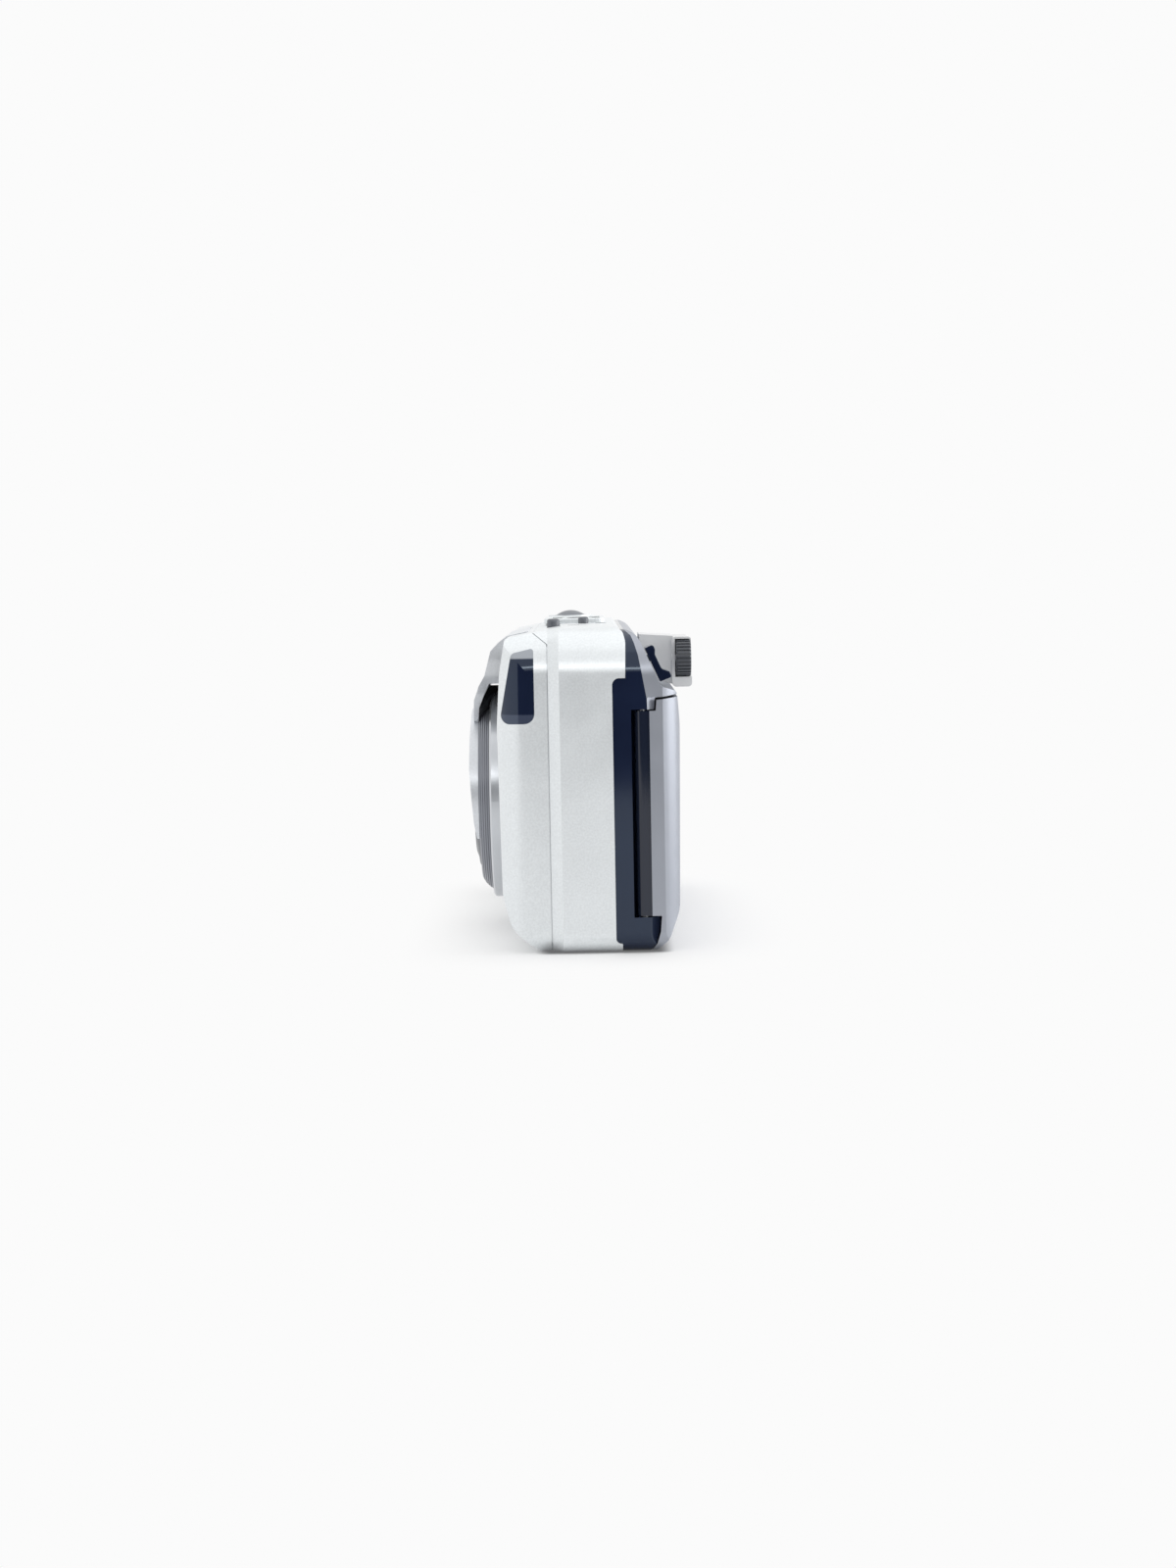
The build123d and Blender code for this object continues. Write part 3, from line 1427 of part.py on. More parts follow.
with BuildPart() as lcd_panel:
    add(block((lcd_left + 2, lcd_right - 2), (lcd_front + 1.8, lcd_back - 1.9), (lcd_seat - 1.7, lcd_seat)))
lcd_panel.part.label = "lcd_panel"
export_step(lcd_panel.part, "parts/lcd_panel.step")

ring_bottom = case_height + 0.2
ring_bore = ring_radius - ring_wall
with BuildPart() as zoom_ring:
    add(upright(shutter_x, shutter_y, ring_radius, ring_bottom, ring_bottom + 0.9))
    with BuildSketch(Plane.XY.offset(ring_bottom)):
        with Locations((shutter_x - ring_radius - 0.3, shutter_y)):
            RectangleRounded(2.8, 4.2, 0.9)
    extrude(amount=1.4)
    chamfer(zoom_ring.faces().sort_by(Axis.Z)[-1].edges(), 0.25)
    add(upright(shutter_x, shutter_y, ring_radius - 1.0, case_height - 2.4, ring_bottom + 0.1))
    add(upright(shutter_x, shutter_y, ring_bore, case_height - 4, case_height + 4), mode=Mode.SUBTRACT)
zoom_ring.part.label = "zoom_ring"
export_step(zoom_ring.part, "parts/zoom_ring.step")

dome_base = case_height + 1.0
with BuildPart() as shutter_button:
    stem_base = case_height - 2.4
    left = shutter_x - shutter_button_radius
    right = shutter_x + shutter_button_radius
    with BuildSketch(Plane.XZ.offset(-shutter_y)):
        with BuildLine():
            ThreePointArc((left, dome_base), (shutter_x, shutter_top), (right, dome_base))
            Polyline((right, dome_base), (right, stem_base), (left, stem_base), (left, dome_base))
        make_face()
        with Locations((left - shutter_button_radius, case_height)):
            Rectangle(4 * shutter_button_radius, case_height, mode=Mode.SUBTRACT)
    revolve(axis=Axis((shutter_x, shutter_y, 0), (0, 0, 1)))
shutter_button.part.label = "shutter_button"
export_step(shutter_button.part, "parts/shutter_button.step")

for name, x, y, radius in (
    ("flash_button", flash_button_x, flash_button_y, flash_button_radius),
    ("timer_button", timer_button_x, timer_button_y, timer_button_radius),
):
    with BuildPart() as deck_button:
        add(upright(x, y, radius, case_height - 2.2, button_top))
        fillet(deck_button.faces().sort_by(Axis.Z)[-1].edges(), 0.6)
        add(upright(x, y, radius + 0.7, case_height - 2.6, case_height - 2.1))
    deck_button.part.label = name
    export_step(deck_button.part, f"parts/{name}.step")

# Finder behind the bridge
finder_low = finder_z - finder_height / 2
finder_high = finder_z + finder_height / 2
finder_left = finder_x - finder_width / 2
finder_right = finder_x + finder_width / 2
optic_x = (finder_left + finder_wall, finder_right - finder_wall)
optic_z = (finder_low + finder_wall, finder_high - finder_wall)
with BuildPart() as finder_frame:
    add(block((finder_left, finder_right), (finder_front, finder_back), (finder_low, finder_high)))
    add(block(optic_x, (finder_front - 1, finder_back + 1), optic_z), mode=Mode.SUBTRACT)
    add(block((lens_x - 3, lens_x + 3), (plate_y - 3.4, plate_y - 2.4), (spool_chamber_top, finder_low)))
finder_frame.part.label = "finder_frame"
export_step(finder_frame.part, "parts/finder_frame.step")

with BuildPart() as finder_optics:
    add(block(optic_x, (finder_front + 0.6, finder_front + 2.4), optic_z))
    add(block(optic_x, (finder_back - 7.5, finder_back - 0.5), optic_z))
finder_optics.part.label = "finder_optics"
export_step(finder_optics.part, "parts/finder_optics.step")

with BuildPart() as finder_zoom_lens:
    add(
        block(
            (optic_x[0] + gap, optic_x[1] - gap),
            (finder_front + 8.5, finder_front + 10.3),
            (optic_z[0] + gap, optic_z[1] - gap),
        )
    )
finder_zoom_lens.part.label = "finder_zoom_lens"
export_step(finder_zoom_lens.part, "parts/finder_zoom_lens.step")

# Focus module, boards, flash parts and screws
with BuildPart() as focus_module:
    add(block((-13.0, -2.0), (finder_front, finder_front + 5.5), (finder_z - 4.4, finder_z + 3.8)))
    for x in (-10.2, -4.8):
        add(level(x, finder_z, 1.9, finder_front - 1.2, finder_front + 0.5))
focus_module.part.label = "focus_module"
export_step(focus_module.part, "parts/focus_module.step")

with BuildPart() as circuit_boards:
    add(block((-46.0, -1.5), (-9.0, 6.4), (board_z, board_z + board_thickness)))
    add(block((-36.0, -11.5), (front_board_y, front_board_y + board_thickness), (12.0, 53.0)))
circuit_boards.part.label = "circuit_boards"
export_step(circuit_boards.part, "parts/circuit_boards.step")

with BuildPart() as flash_reflector:
    flash_x = (flash_left + 1.5, flash_right - 1.5)
    flash_z = flash_bottom + flash_height / 2
    with BuildSketch(Plane.YZ.offset(flash_x[0])):
        with BuildLine():
            mouth_y = front_y + 2.7
            ThreePointArc((mouth_y, flash_z - 4.8), (mouth_y + 6.2, flash_z), (mouth_y, flash_z + 4.8))
            Line((mouth_y, flash_z + 4.8), (mouth_y, flash_z - 4.8))
        make_face()
    extrude(amount=flash_x[1] - flash_x[0])
    with BuildSketch(Plane.YZ.offset(flash_x[0] + 0.8)):
        with BuildLine():
            ThreePointArc((mouth_y, flash_z - 4.1), (mouth_y + 5.4, flash_z), (mouth_y, flash_z + 4.1))
            Line((mouth_y, flash_z + 4.1), (mouth_y, flash_z - 4.1))
        make_face()
    extrude(amount=flash_x[1] - flash_x[0] - 1.6, mode=Mode.SUBTRACT)
    tube_y = mouth_y + 3.4
    add(across(tube_y, flash_z, tube_radius + slip, flash_x[0] - 1, flash_x[1] + 1), mode=Mode.SUBTRACT)
flash_reflector.part.label = "flash_reflector"
export_step(flash_reflector.part, "parts/flash_reflector.step")

with BuildPart() as flash_tube:
    add(across(tube_y, flash_z, tube_radius, flash_x[0] - 1, flash_x[1] + 1))
flash_tube.part.label = "flash_tube"
export_step(flash_tube.part, "parts/flash_tube.step")

with BuildPart() as flash_capacitor:
    capacitor_right = capacitor_left + capacitor_length
    add(across(capacitor_y, capacitor_z, capacitor_radius, capacitor_left, capacitor_right))
    fillet(flash_capacitor.edges().filter_by(GeomType.CIRCLE), 0.8)
flash_capacitor.part.label = "flash_capacitor"
export_step(flash_capacitor.part, "parts/flash_capacitor.step")

with BuildPart() as case_screws:
    for x, y in main_screws + rear_screws:
        add(upright(x, y, screw_head - slip, 0.15, 0.9))
        add(upright(x, y, screw_radius - slip, 0.9, 0.15 + screw_length))
        with BuildSketch(Plane.XY.offset(0.1)):
            with Locations((x, y)):
                Rectangle(1.8, 0.4)
                Rectangle(0.4, 1.8)
        extrude(amount=0.4, mode=Mode.SUBTRACT)
case_screws.part.label = "case_screws"
export_step(case_screws.part, "parts/case_screws.step")
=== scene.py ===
# %% [markdown]
# # Dressing a compact film camera
#
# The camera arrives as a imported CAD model: sixty pieces that sit exactly where they belong. This lesson
# gives each of them the finish of the real thing and adds the small things that CAD leaves out, such as the
# segments of the deck display, the ribs of the grip, the foam light seal of the door and the printed marks.
# We work in metres, with +Z up, the lens towards -Y and the film door's hinge at +X.

# %% Load the frame
import json
import math
import bpy
from mathutils import Euler, Matrix, Vector


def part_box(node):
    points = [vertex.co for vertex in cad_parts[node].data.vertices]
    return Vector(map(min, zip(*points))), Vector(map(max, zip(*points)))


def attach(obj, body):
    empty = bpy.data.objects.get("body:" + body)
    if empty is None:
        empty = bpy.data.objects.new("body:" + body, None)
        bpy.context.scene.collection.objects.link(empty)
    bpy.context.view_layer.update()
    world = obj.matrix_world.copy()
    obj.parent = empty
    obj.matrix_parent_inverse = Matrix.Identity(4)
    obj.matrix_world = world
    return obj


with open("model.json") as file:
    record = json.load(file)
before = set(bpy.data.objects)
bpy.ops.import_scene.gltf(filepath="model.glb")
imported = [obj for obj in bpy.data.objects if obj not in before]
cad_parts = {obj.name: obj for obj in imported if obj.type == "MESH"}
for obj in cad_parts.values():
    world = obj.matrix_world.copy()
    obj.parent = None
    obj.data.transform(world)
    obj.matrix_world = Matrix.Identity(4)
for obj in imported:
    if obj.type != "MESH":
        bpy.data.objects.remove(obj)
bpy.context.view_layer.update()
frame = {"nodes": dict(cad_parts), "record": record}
nodes = frame["nodes"]
mm = 0.001

# %% [markdown]
# ## The photographer's set-up
#
# The picture shows the camera from its end, from a little above, in front of plain white. The focal length
# and the distance decide how much smaller the far end looks, so they come from that, and the slight roll
# comes from the edges that should be upright. We could aim with a Track To constraint, but one rotation
# written out is easier to read and can't change later.

# %% Camera
eye = Vector((0.579, 0.0, 0.08225))
pitch_down = math.radians(5.0)
roll = math.radians(1.05)
focal_mm = 56.16
lens_data = bpy.data.cameras.new("photo_camera")
lens_data.lens = focal_mm
lens_data.sensor_width = 36.0
lens_data.clip_start = 0.01
camera = bpy.data.objects.new("photo_camera", lens_data)
bpy.context.scene.collection.objects.link(camera)
forward = Vector((-math.cos(pitch_down), 0, -math.sin(pitch_down)))
up = Vector((-math.sin(pitch_down), 0, math.cos(pitch_down)))
right = forward.cross(up)
turn = Matrix((right, up, -forward)).transposed().to_4x4()
camera.matrix_world = Matrix.Translation(eye) @ turn @ Euler((0, 0, -roll)).to_matrix().to_4x4()
bpy.context.scene.camera = camera
bpy.context.scene.view_settings.view_transform = "Standard"
print("camera", [round(v, 4) for v in camera.location], "lens", focal_mm)

# %% [markdown]
# ## One way to write a colour, one way to add a node
#
# Finish charts give colours as sRGB hex values, and Blender's shaders want linear light, so one function
# turns one into the other. The second function adds a shader node: settings are its own switches, and
# inputs are either plain values or the output sockets of other nodes, which become links.

# %% Colour and node helpers
def linear(hex_value, alpha=1.0):
    channels = [int(hex_value[i:i + 2], 16) / 255 for i in (1, 3, 5)]
    return [c / 12.92 if c <= 0.04045 else ((c + 0.055) / 1.055) ** 2.4 for c in channels] + [alpha]


def add_node(tree, kind, inputs=None, **settings):
    made = tree.nodes.new(kind)
    for name, value in settings.items():
        setattr(made, name, value)
    for name, value in (inputs or {}).items():
        socket = made.inputs[name]
        if isinstance(value, bpy.types.NodeSocket):
            tree.links.new(value, socket)
        else:
            socket.default_value = value
    return made


def per_mm(size_mm):
    """Texture scale at which one feature of the pattern is that many millimetres across."""
    return 1.0 / (size_mm * mm)


backdrop_white = linear("#FBFBFB")
print("backdrop in linear light", backdrop_white)

# %% [markdown]
# ## A white room
#
# The photograph was taken in a white light tent: the light comes from everywhere and most of all from
# above. A world of even light would do nearly all of it. We add one wide lamp overhead for the bright deck
# and the soft contact shadow, and one on the right for the pale edge of the film door. The lens side gets
# less of it, which leaves the strip beside the seam darker. Polished black needs something to mirror. A
# long, narrow lamp above the photographer, which only reflections see, draws the bright streak on the
# rounded end. A dark card, which stands for the tent's opening, keeps the black deep. The levels are such
# that a white floor comes out just below white, so that each finish renders about as it is written.

# %% World and lamps
sky_level = 0.96
world = bpy.data.worlds.new("light_tent")
bpy.context.scene.world = world
world.use_nodes = True
tree = world.node_tree
tree.nodes.clear()
path = add_node(tree, "ShaderNodeLightPath")
seen = add_node(tree, "ShaderNodeMath", {0: path.outputs["Is Camera Ray"], 1: path.outputs["Is Glossy Ray"]},
                operation="MAXIMUM")
seen = add_node(tree, "ShaderNodeMath", {0: seen.outputs[0], 1: path.outputs["Is Transmission Ray"]},
                operation="MAXIMUM")
lit = add_node(tree, "ShaderNodeBackground", {"Color": backdrop_white, "Strength": sky_level})
shown = add_node(tree, "ShaderNodeBackground", {"Color": backdrop_white, "Strength": 1.0})
mixed = add_node(tree, "ShaderNodeMixShader", {0: seen.outputs[0], 1: lit.outputs[0], 2: shown.outputs[0]})
add_node(tree, "ShaderNodeOutputWorld", {"Surface": mixed.outputs[0]})


def softbox(name, place, aim, width, height, watts):
    lamp = bpy.data.lights.new(name, "AREA")
    lamp.shape = "RECTANGLE"
    lamp.size = width
    lamp.size_y = height
    lamp.energy = watts
    stand = bpy.data.objects.new(name, lamp)
    stand.location = place
    stand.rotation_euler = (Vector(aim) - Vector(place)).to_track_quat("-Z", "Y").to_euler()
    bpy.context.scene.collection.objects.link(stand)
    return stand


overhead = softbox("overhead_softbox", place=(-0.05, 0.0, 0.75), aim=(0, 0, 0.03),
                   width=0.9, height=0.9, watts=0.9)
right_side = softbox("right_softbox", place=(0.02, 0.8, 0.24), aim=(0, 0, 0.035),
                     width=0.7, height=0.5, watts=3.2)
streak = softbox("front_streak_lamp", place=(0.93, 0.0, 0.44), aim=(0.05, 0, 0.06),
                 width=0.7, height=0.07, watts=0.8)
streak.visible_diffuse = False
print("lamps", overhead.name, right_side.name, streak.name, "sky", sky_level)

# %% Dark card that only reflections see
def bare():
    bpy.ops.object.select_all(action="DESELECT")


card_place = (0.45, -0.12, 0.088)
card_height, card_width = 0.176, 0.6
bare()
bpy.ops.mesh.primitive_plane_add(size=1.0, location=card_place, rotation=(0, math.radians(90), 0))
dark_card = bpy.context.object
dark_card.name = "dark_card"
dark_card.scale = (card_height, card_width, 1.0)
card_paint = bpy.data.materials.new("matt_black_card")
card_paint.use_nodes = True
tree = card_paint.node_tree
tree.nodes.clear()
shade = add_node(tree, "ShaderNodeEmission", {"Color": linear("#1B1E26"), "Strength": 1.0})
add_node(tree, "ShaderNodeOutputMaterial", {"Surface": shade.outputs[0]})
dark_card.data.materials.append(card_paint)
dark_card.visible_camera = False
dark_card.visible_diffuse = False
dark_card.visible_transmission = False
dark_card.visible_shadow = False
print("card", [round(v, 3) for v in dark_card.dimensions])

# %% [markdown]
# ## The floor
#
# A real sweep of paper has no horizon. We get the same from a disc of floor that keeps the camera's own
# shadow close by and fades into the plain backdrop colour further out. The fade is a gradient on the
# distance from the camera's footprint, so nothing in it depends on where we look from. Under the camera
# the paper is painted dark grey: a painted contact shadow, which gives a thin dark line along the
# camera's base.

# %% Floor
footprint_half = (0.0555, 0.0115, 0.0)
footprint_middle = (0.0, 0.003, 0.0)
floor_radius = 6.0
painted_shadow_width = 0.004
fade_start, fade_end = 0.003, 0.035
painted_contact_shadow, paper_white = linear("#2A2D36"), linear("#F4F4F4")
paper_glow = 0.15
bare()
bpy.ops.mesh.primitive_circle_add(vertices=96, radius=floor_radius, fill_type="NGON", location=(0, 0, 0))
floor = bpy.context.object
floor.name = "paper_floor"
paper = bpy.data.materials.new("matt_white_paper")
paper.use_nodes = True
tree = paper.node_tree
tree.nodes.clear()
place = add_node(tree, "ShaderNodeTexCoord")
away = add_node(tree, "ShaderNodeVectorMath", {0: place.outputs["Object"], 1: footprint_middle},
                operation="SUBTRACT")
away = add_node(tree, "ShaderNodeVectorMath", {0: away.outputs[0]}, operation="ABSOLUTE")
away = add_node(tree, "ShaderNodeVectorMath", {0: away.outputs[0], 1: footprint_half}, operation="SUBTRACT")
away = add_node(tree, "ShaderNodeVectorMath", {0: away.outputs[0], 1: (0, 0, 0)}, operation="MAXIMUM")
away = add_node(tree, "ShaderNodeVectorMath", {0: away.outputs[0]}, operation="LENGTH")
fade = add_node(tree, "ShaderNodeMapRange",
                {"Value": away.outputs["Value"], "From Min": fade_start, "From Max": fade_end},
                interpolation_type="SMOOTHSTEP")
# Painted contact shadow: under the camera's footprint the paper is painted dark grey, turning white within a
# few millimetres outside it.
under = add_node(tree, "ShaderNodeMapRange",
                 {"Value": away.outputs["Value"], "From Min": 0.0, "From Max": painted_shadow_width},
                 interpolation_type="SMOOTHSTEP")
tone = add_node(tree, "ShaderNodeMix", {"Factor": under.outputs[0], "A": painted_contact_shadow, "B": paper_white},
                data_type="RGBA")
sheet = add_node(tree, "ShaderNodeBsdfDiffuse", {"Color": tone.outputs["Result"]})
glow = add_node(tree, "ShaderNodeEmission", {"Color": backdrop_white, "Strength": 1.0})
near = add_node(tree, "ShaderNodeMixShader", {0: paper_glow, 1: sheet.outputs[0], 2: glow.outputs[0]})
mixed = add_node(tree, "ShaderNodeMixShader", {0: fade.outputs[0], 1: near.outputs[0], 2: glow.outputs[0]})
add_node(tree, "ShaderNodeOutputMaterial", {"Surface": mixed.outputs[0]})
floor.data.materials.append(paper)
print("floor radius", floor.dimensions.x / 2)

# %% [markdown]
# ## Painted and moulded finishes
#
# Nearly every cover of such a camera is moulded ABS. Some are left as moulded, with a fine grain from the
# mould, some are polished, and the silver ones are sprayed with a lacquer full of aluminium flakes. These
# finishes differ mainly in five things: colour, roughness, how metallic they are, how coarse the grain is
# and how deep. So one function makes them all. It lets the colour and the roughness drift a little over
# some millimetres, as handling and dust do, and raises the grain as a bump on Object coordinates. Every
# principled material starts and ends the same way, so two small functions do that for all of them.

# %% Start and end of a principled material
# A noise rarely leaves this range, so the whole contrast is spread over it.
noise_range = {"From Min": 0.3, "From Max": 0.7}


def start_material(name):
    """A new material, its node tree, its principled shader and its Object coordinates."""
    made = bpy.data.materials.new(name)
    made.use_nodes = True
    tree = made.node_tree
    return made, tree, tree.nodes["Principled BSDF"], add_node(tree, "ShaderNodeTexCoord").outputs["Object"]


def drive(tree, shader, colour, gloss, raised):
    """Link what a pattern works out to the colour, roughness and normal of the shader."""
    for socket, source in (("Base Color", colour), ("Roughness", gloss), ("Normal", raised)):
        tree.links.new(source, shader.inputs[socket])


print("noise range", noise_range)

# %% A finish from its properties
drift_size = 9.0


def finish(name, base, rough, grain_mm, depth_mm, metallic=0.0, drift=0.06, speckle=0.0, ior=1.5, **extra):
    """Principled material. Drift is the slow change of colour and gloss, speckle the grain's contrast."""
    made, tree, shader, place = start_material(name)
    darkest, palest = 1.0 - drift, 1.0 + drift * 0.4
    smoothest, roughest = rough * 0.9, min(1.0, rough * 1.12)
    grain = add_node(tree, "ShaderNodeTexNoise", {"Vector": place, "Scale": per_mm(grain_mm), "Detail": 2.0})
    slow = add_node(tree, "ShaderNodeTexNoise", {"Vector": place, "Scale": per_mm(drift_size), "Detail": 3.0})
    shade = add_node(tree, "ShaderNodeMapRange", {
        "Value": slow.outputs["Fac"], "To Min": darkest, "To Max": palest, **noise_range})
    spark = add_node(tree, "ShaderNodeMapRange", {
        "Value": grain.outputs["Fac"], "To Min": 1.0 - speckle, "To Max": 1.0 + speckle, **noise_range})
    both = add_node(tree, "ShaderNodeMath", {0: shade.outputs[0], 1: spark.outputs[0]}, operation="MULTIPLY")
    colour = add_node(tree, "ShaderNodeVectorMath", {0: linear(base)[:3], "Scale": both.outputs[0]},
                      operation="SCALE")
    gloss = add_node(tree, "ShaderNodeMapRange", {
        "Value": slow.outputs["Fac"], "To Min": smoothest, "To Max": roughest, **noise_range})
    raised = add_node(tree, "ShaderNodeBump", {
        "Height": grain.outputs["Fac"], "Strength": 1.0, "Distance": depth_mm * mm})
    for socket, value in (("Metallic", metallic), ("IOR", ior)):
        shader.inputs[socket].default_value = value
    for socket, value in extra.items():
        shader.inputs[socket.replace("_", " ")].default_value = value
    drive(tree, shader, colour.outputs[0], gloss.outputs[0], raised.outputs[0])
    return made


# Silver lacquer: aluminium flakes of about 0.03 mm in clear lacquer, drawn 0.45 mm across so that they show.
silver_lacquer = finish("silver_flake_lacquer_on_abs", "#E6EAEC", 0.32, 0.45, 0.006, metallic=0.42,
                        drift=0.03, speckle=0.05, Coat_Weight=0.2, Coat_Roughness=0.2)
# The bridge has the same kind of lacquer in a slightly darker grey.
grey_lacquer = finish("grey_flake_lacquer_on_abs", "#E0E3E7", 0.34, 0.4, 0.004, metallic=0.45, speckle=0.05)
# The ring round the lens is turned aluminium, clear anodised: more of a mirror than the paint.
anodised_ring = finish("clear_anodised_aluminium", "#CDD0D4", 0.3, 0.2, 0.002, metallic=0.8, drift=0.03)
# ABS from a polished mould, navy black: it mirrors the room at grazing angles and is nearly black head on.
navy_gloss = finish("polished_navy_black_abs", "#182036", 0.08, 1.2, 0.0008, drift=0.1, ior=1.55,
                    Specular_Tint=(0.75, 0.88, 1.0, 1.0))
# The cap and the door are sprayed with a satin lacquer full of flake, so their grey shifts with the light.
slate_satin = finish("satin_slate_lacquer_on_abs", "#A4A8B1", 0.33, 0.3, 0.003, metallic=0.62, drift=0.04)
# The lens surround is moulded in grey, and its fine ribs are as they come from the mould.
surround_abs = finish("ribbed_grey_abs", "#868991", 0.34, 0.3, 0.004, metallic=0.25)
# Unpainted black ABS with a spark eroded grain, for what the hand or the light should not notice.
black_abs = finish("grained_black_abs", "#17181A", 0.5, 0.3, 0.012, drift=0.12)
# The latch is moulded in charcoal with a shallower grain, so it shines a little more.
charcoal_abs = finish("grained_charcoal_abs", "#3B3D40", 0.42, 0.3, 0.008, drift=0.08)
# Buttons, eyepiece and wheels are moulded in greys with a little flake: soft, even highlights.
button_abs = finish("satin_grey_abs", "#7C7F85", 0.3, 0.3, 0.004, metallic=0.2, drift=0.05)
eyepiece_abs = finish("satin_pale_grey_abs", "#DCDDDE", 0.3, 0.3, 0.003, metallic=0.1, drift=0.04)
wheel_abs = finish("satin_dark_grey_abs", "#676A70", 0.3, 0.3, 0.004, metallic=0.15, drift=0.05)
knurled_abs = finish("knurled_dark_grey_abs", "#4C4F55", 0.34, 0.3, 0.004, metallic=0.1, drift=0.05)
# The barrels wear a thin metallic lacquer, smooth because they slide in each other.
barrel_paint = finish("satin_barrel_lacquer", "#73767B", 0.34, 0.25, 0.003, metallic=0.5, drift=0.04)
# The reduction gear is nylon without dye: ivory, waxy and slightly translucent.
natural_nylon = finish("natural_nylon", "#D9D6CB", 0.45, 0.4, 0.004, Subsurface_Weight=0.1)
print("finishes", len(bpy.data.materials))

# %% [markdown]
# ## Metals
#
# The small mechanical parts are stamped spring steel, blackened steel, turned brass and bright zinc. Bare
# metal is recognised by what it does to a highlight: rolling and turning leave fine lines, and those
# stretch it. We lay lines along one axis with a noise that is squeezed in one direction, and let it disturb
# roughness and height.

# %% Metal finishes
def metal(name, base, rough, line_mm, squeeze, depth_mm, metallic=1.0):
    """Bare metal with tool lines. Squeeze is the length of the lines along X, Y and Z in line widths."""
    made, tree, shader, place = start_material(name)
    shader.inputs["Metallic"].default_value = metallic
    darkest, palest = 0.9, 1.05
    smoothest, roughest = rough * 0.8, rough * 1.25
    drawn = add_node(tree, "ShaderNodeMapping", {"Vector": place, "Scale": [1.0 / s for s in squeeze]})
    lines = add_node(tree, "ShaderNodeTexNoise", {
        "Vector": drawn.outputs[0], "Scale": per_mm(line_mm), "Detail": 3.0, "Roughness": 0.6})
    tone = add_node(tree, "ShaderNodeMapRange", {
        "Value": lines.outputs["Fac"], "To Min": darkest, "To Max": palest, **noise_range})
    colour = add_node(tree, "ShaderNodeVectorMath", {0: linear(base)[:3], "Scale": tone.outputs[0]},
                      operation="SCALE")
    gloss = add_node(tree, "ShaderNodeMapRange", {
        "Value": lines.outputs["Fac"], "To Min": smoothest, "To Max": roughest, **noise_range})
    raised = add_node(tree, "ShaderNodeBump", {
        "Height": lines.outputs["Fac"], "Strength": 1.0, "Distance": depth_mm * mm})
    drive(tree, shader, colour.outputs[0], gloss.outputs[0], raised.outputs[0])
    return made


# Rolled sheet with bright zinc: pale, with fine lines along X that stretch its highlights.
zinc_steel = metal("zinc_plated_steel", "#BDBFC0", 0.28, 0.12, (8, 1, 1), 0.002)
# Steel blackened with oxide: nearly black, with a dull sheen.
black_oxide = metal("black_oxide_steel", "#26272A", 0.4, 0.15, (6, 1, 1), 0.002, metallic=0.8)
# Brass: warm yellow, with its tool lines drawn along Z.
turned_brass = metal("turned_brass", "#C8A45A", 0.25, 0.12, (1, 1, 6), 0.002)
print("metals", zinc_steel.name, black_oxide.name, turned_brass.name)

# %% [markdown]
# ## Things with a pattern of their own
#
# Three finishes have more than a grain. The grip is rubber with a leather-like texture, the circuit boards
# are green laminate with tracks under the lacquer, and the battery has a printed sleeve. A small function
# draws each pattern on Object coordinates, sized in millimetres, and one more makes a material of it: the
# pattern raises the surface and goes from one colour to the other.

# %% Pebbled, etched and printed finishes
dust_size, pebble_size, track_tile, print_dot = 5.0, 1.1, 10.0, 0.4


def patterned(name, base, other, rough, pattern, depth_mm, metallic=0.0):
    """Principled material that a pattern drives: it raises the surface and goes from base to other."""
    made, tree, shader, place = start_material(name)
    shader.inputs["Metallic"].default_value = metallic
    smoothest, roughest = rough * 0.85, min(1.0, rough * 1.2)
    relief = pattern(tree, place)
    colour = add_node(tree, "ShaderNodeMix", {"Factor": relief, "A": linear(base), "B": linear(other)},
                      data_type="RGBA")
    dust = add_node(tree, "ShaderNodeTexNoise", {"Vector": place, "Scale": per_mm(dust_size), "Detail": 3.0})
    gloss = add_node(tree, "ShaderNodeMapRange", {
        "Value": dust.outputs["Fac"], "To Min": smoothest, "To Max": roughest, **noise_range})
    raised = add_node(tree, "ShaderNodeBump", {"Height": relief, "Strength": 1.0, "Distance": depth_mm * mm})
    drive(tree, shader, colour.outputs["Result"], gloss.outputs[0], raised.outputs[0])
    return made


def pebbles(tree, place):
    cells = add_node(tree, "ShaderNodeTexVoronoi", {"Vector": place, "Scale": per_mm(pebble_size)},
                     feature="SMOOTH_F1")
    return cells.outputs["Distance"]


def tracks(tree, place):
    bricks = add_node(tree, "ShaderNodeTexBrick", {
        "Vector": place, "Scale": per_mm(track_tile),
        "Mortar Size": 0.03, "Brick Width": 0.9, "Row Height": 0.12,
        "Color1": (0, 0, 0, 1), "Color2": (0, 0, 0, 1), "Mortar": (1, 1, 1, 1)})
    return bricks.outputs["Fac"]


def fine_noise(tree, place):
    return add_node(tree, "ShaderNodeTexNoise", {"Vector": place, "Scale": per_mm(print_dot)}).outputs["Fac"]


# Rubber with small pebbles from the mould scatters the light and hides fingerprints.
grip_rubber = patterned("pebbled_black_rubber", "#1B1C1E", "#0F1011", 0.6, pebbles, depth_mm=0.12)
# Glass laminate with etched copper tracks: the tracks show paler through the green lacquer.
green_laminate = patterned("etched_green_laminate", "#1E5A3A", "#3C8A5C", 0.35, tracks, depth_mm=0.03)
# The battery's plastic sleeve is printed in metallic grey, with the fine dots of the print.
printed_sleeve = patterned("printed_battery_sleeve", "#3A3C40", "#55585D", 0.3, fine_noise,
                           depth_mm=0.003, metallic=0.5)
print("patterned", grip_rubber.name, green_laminate.name, printed_sleeve.name)

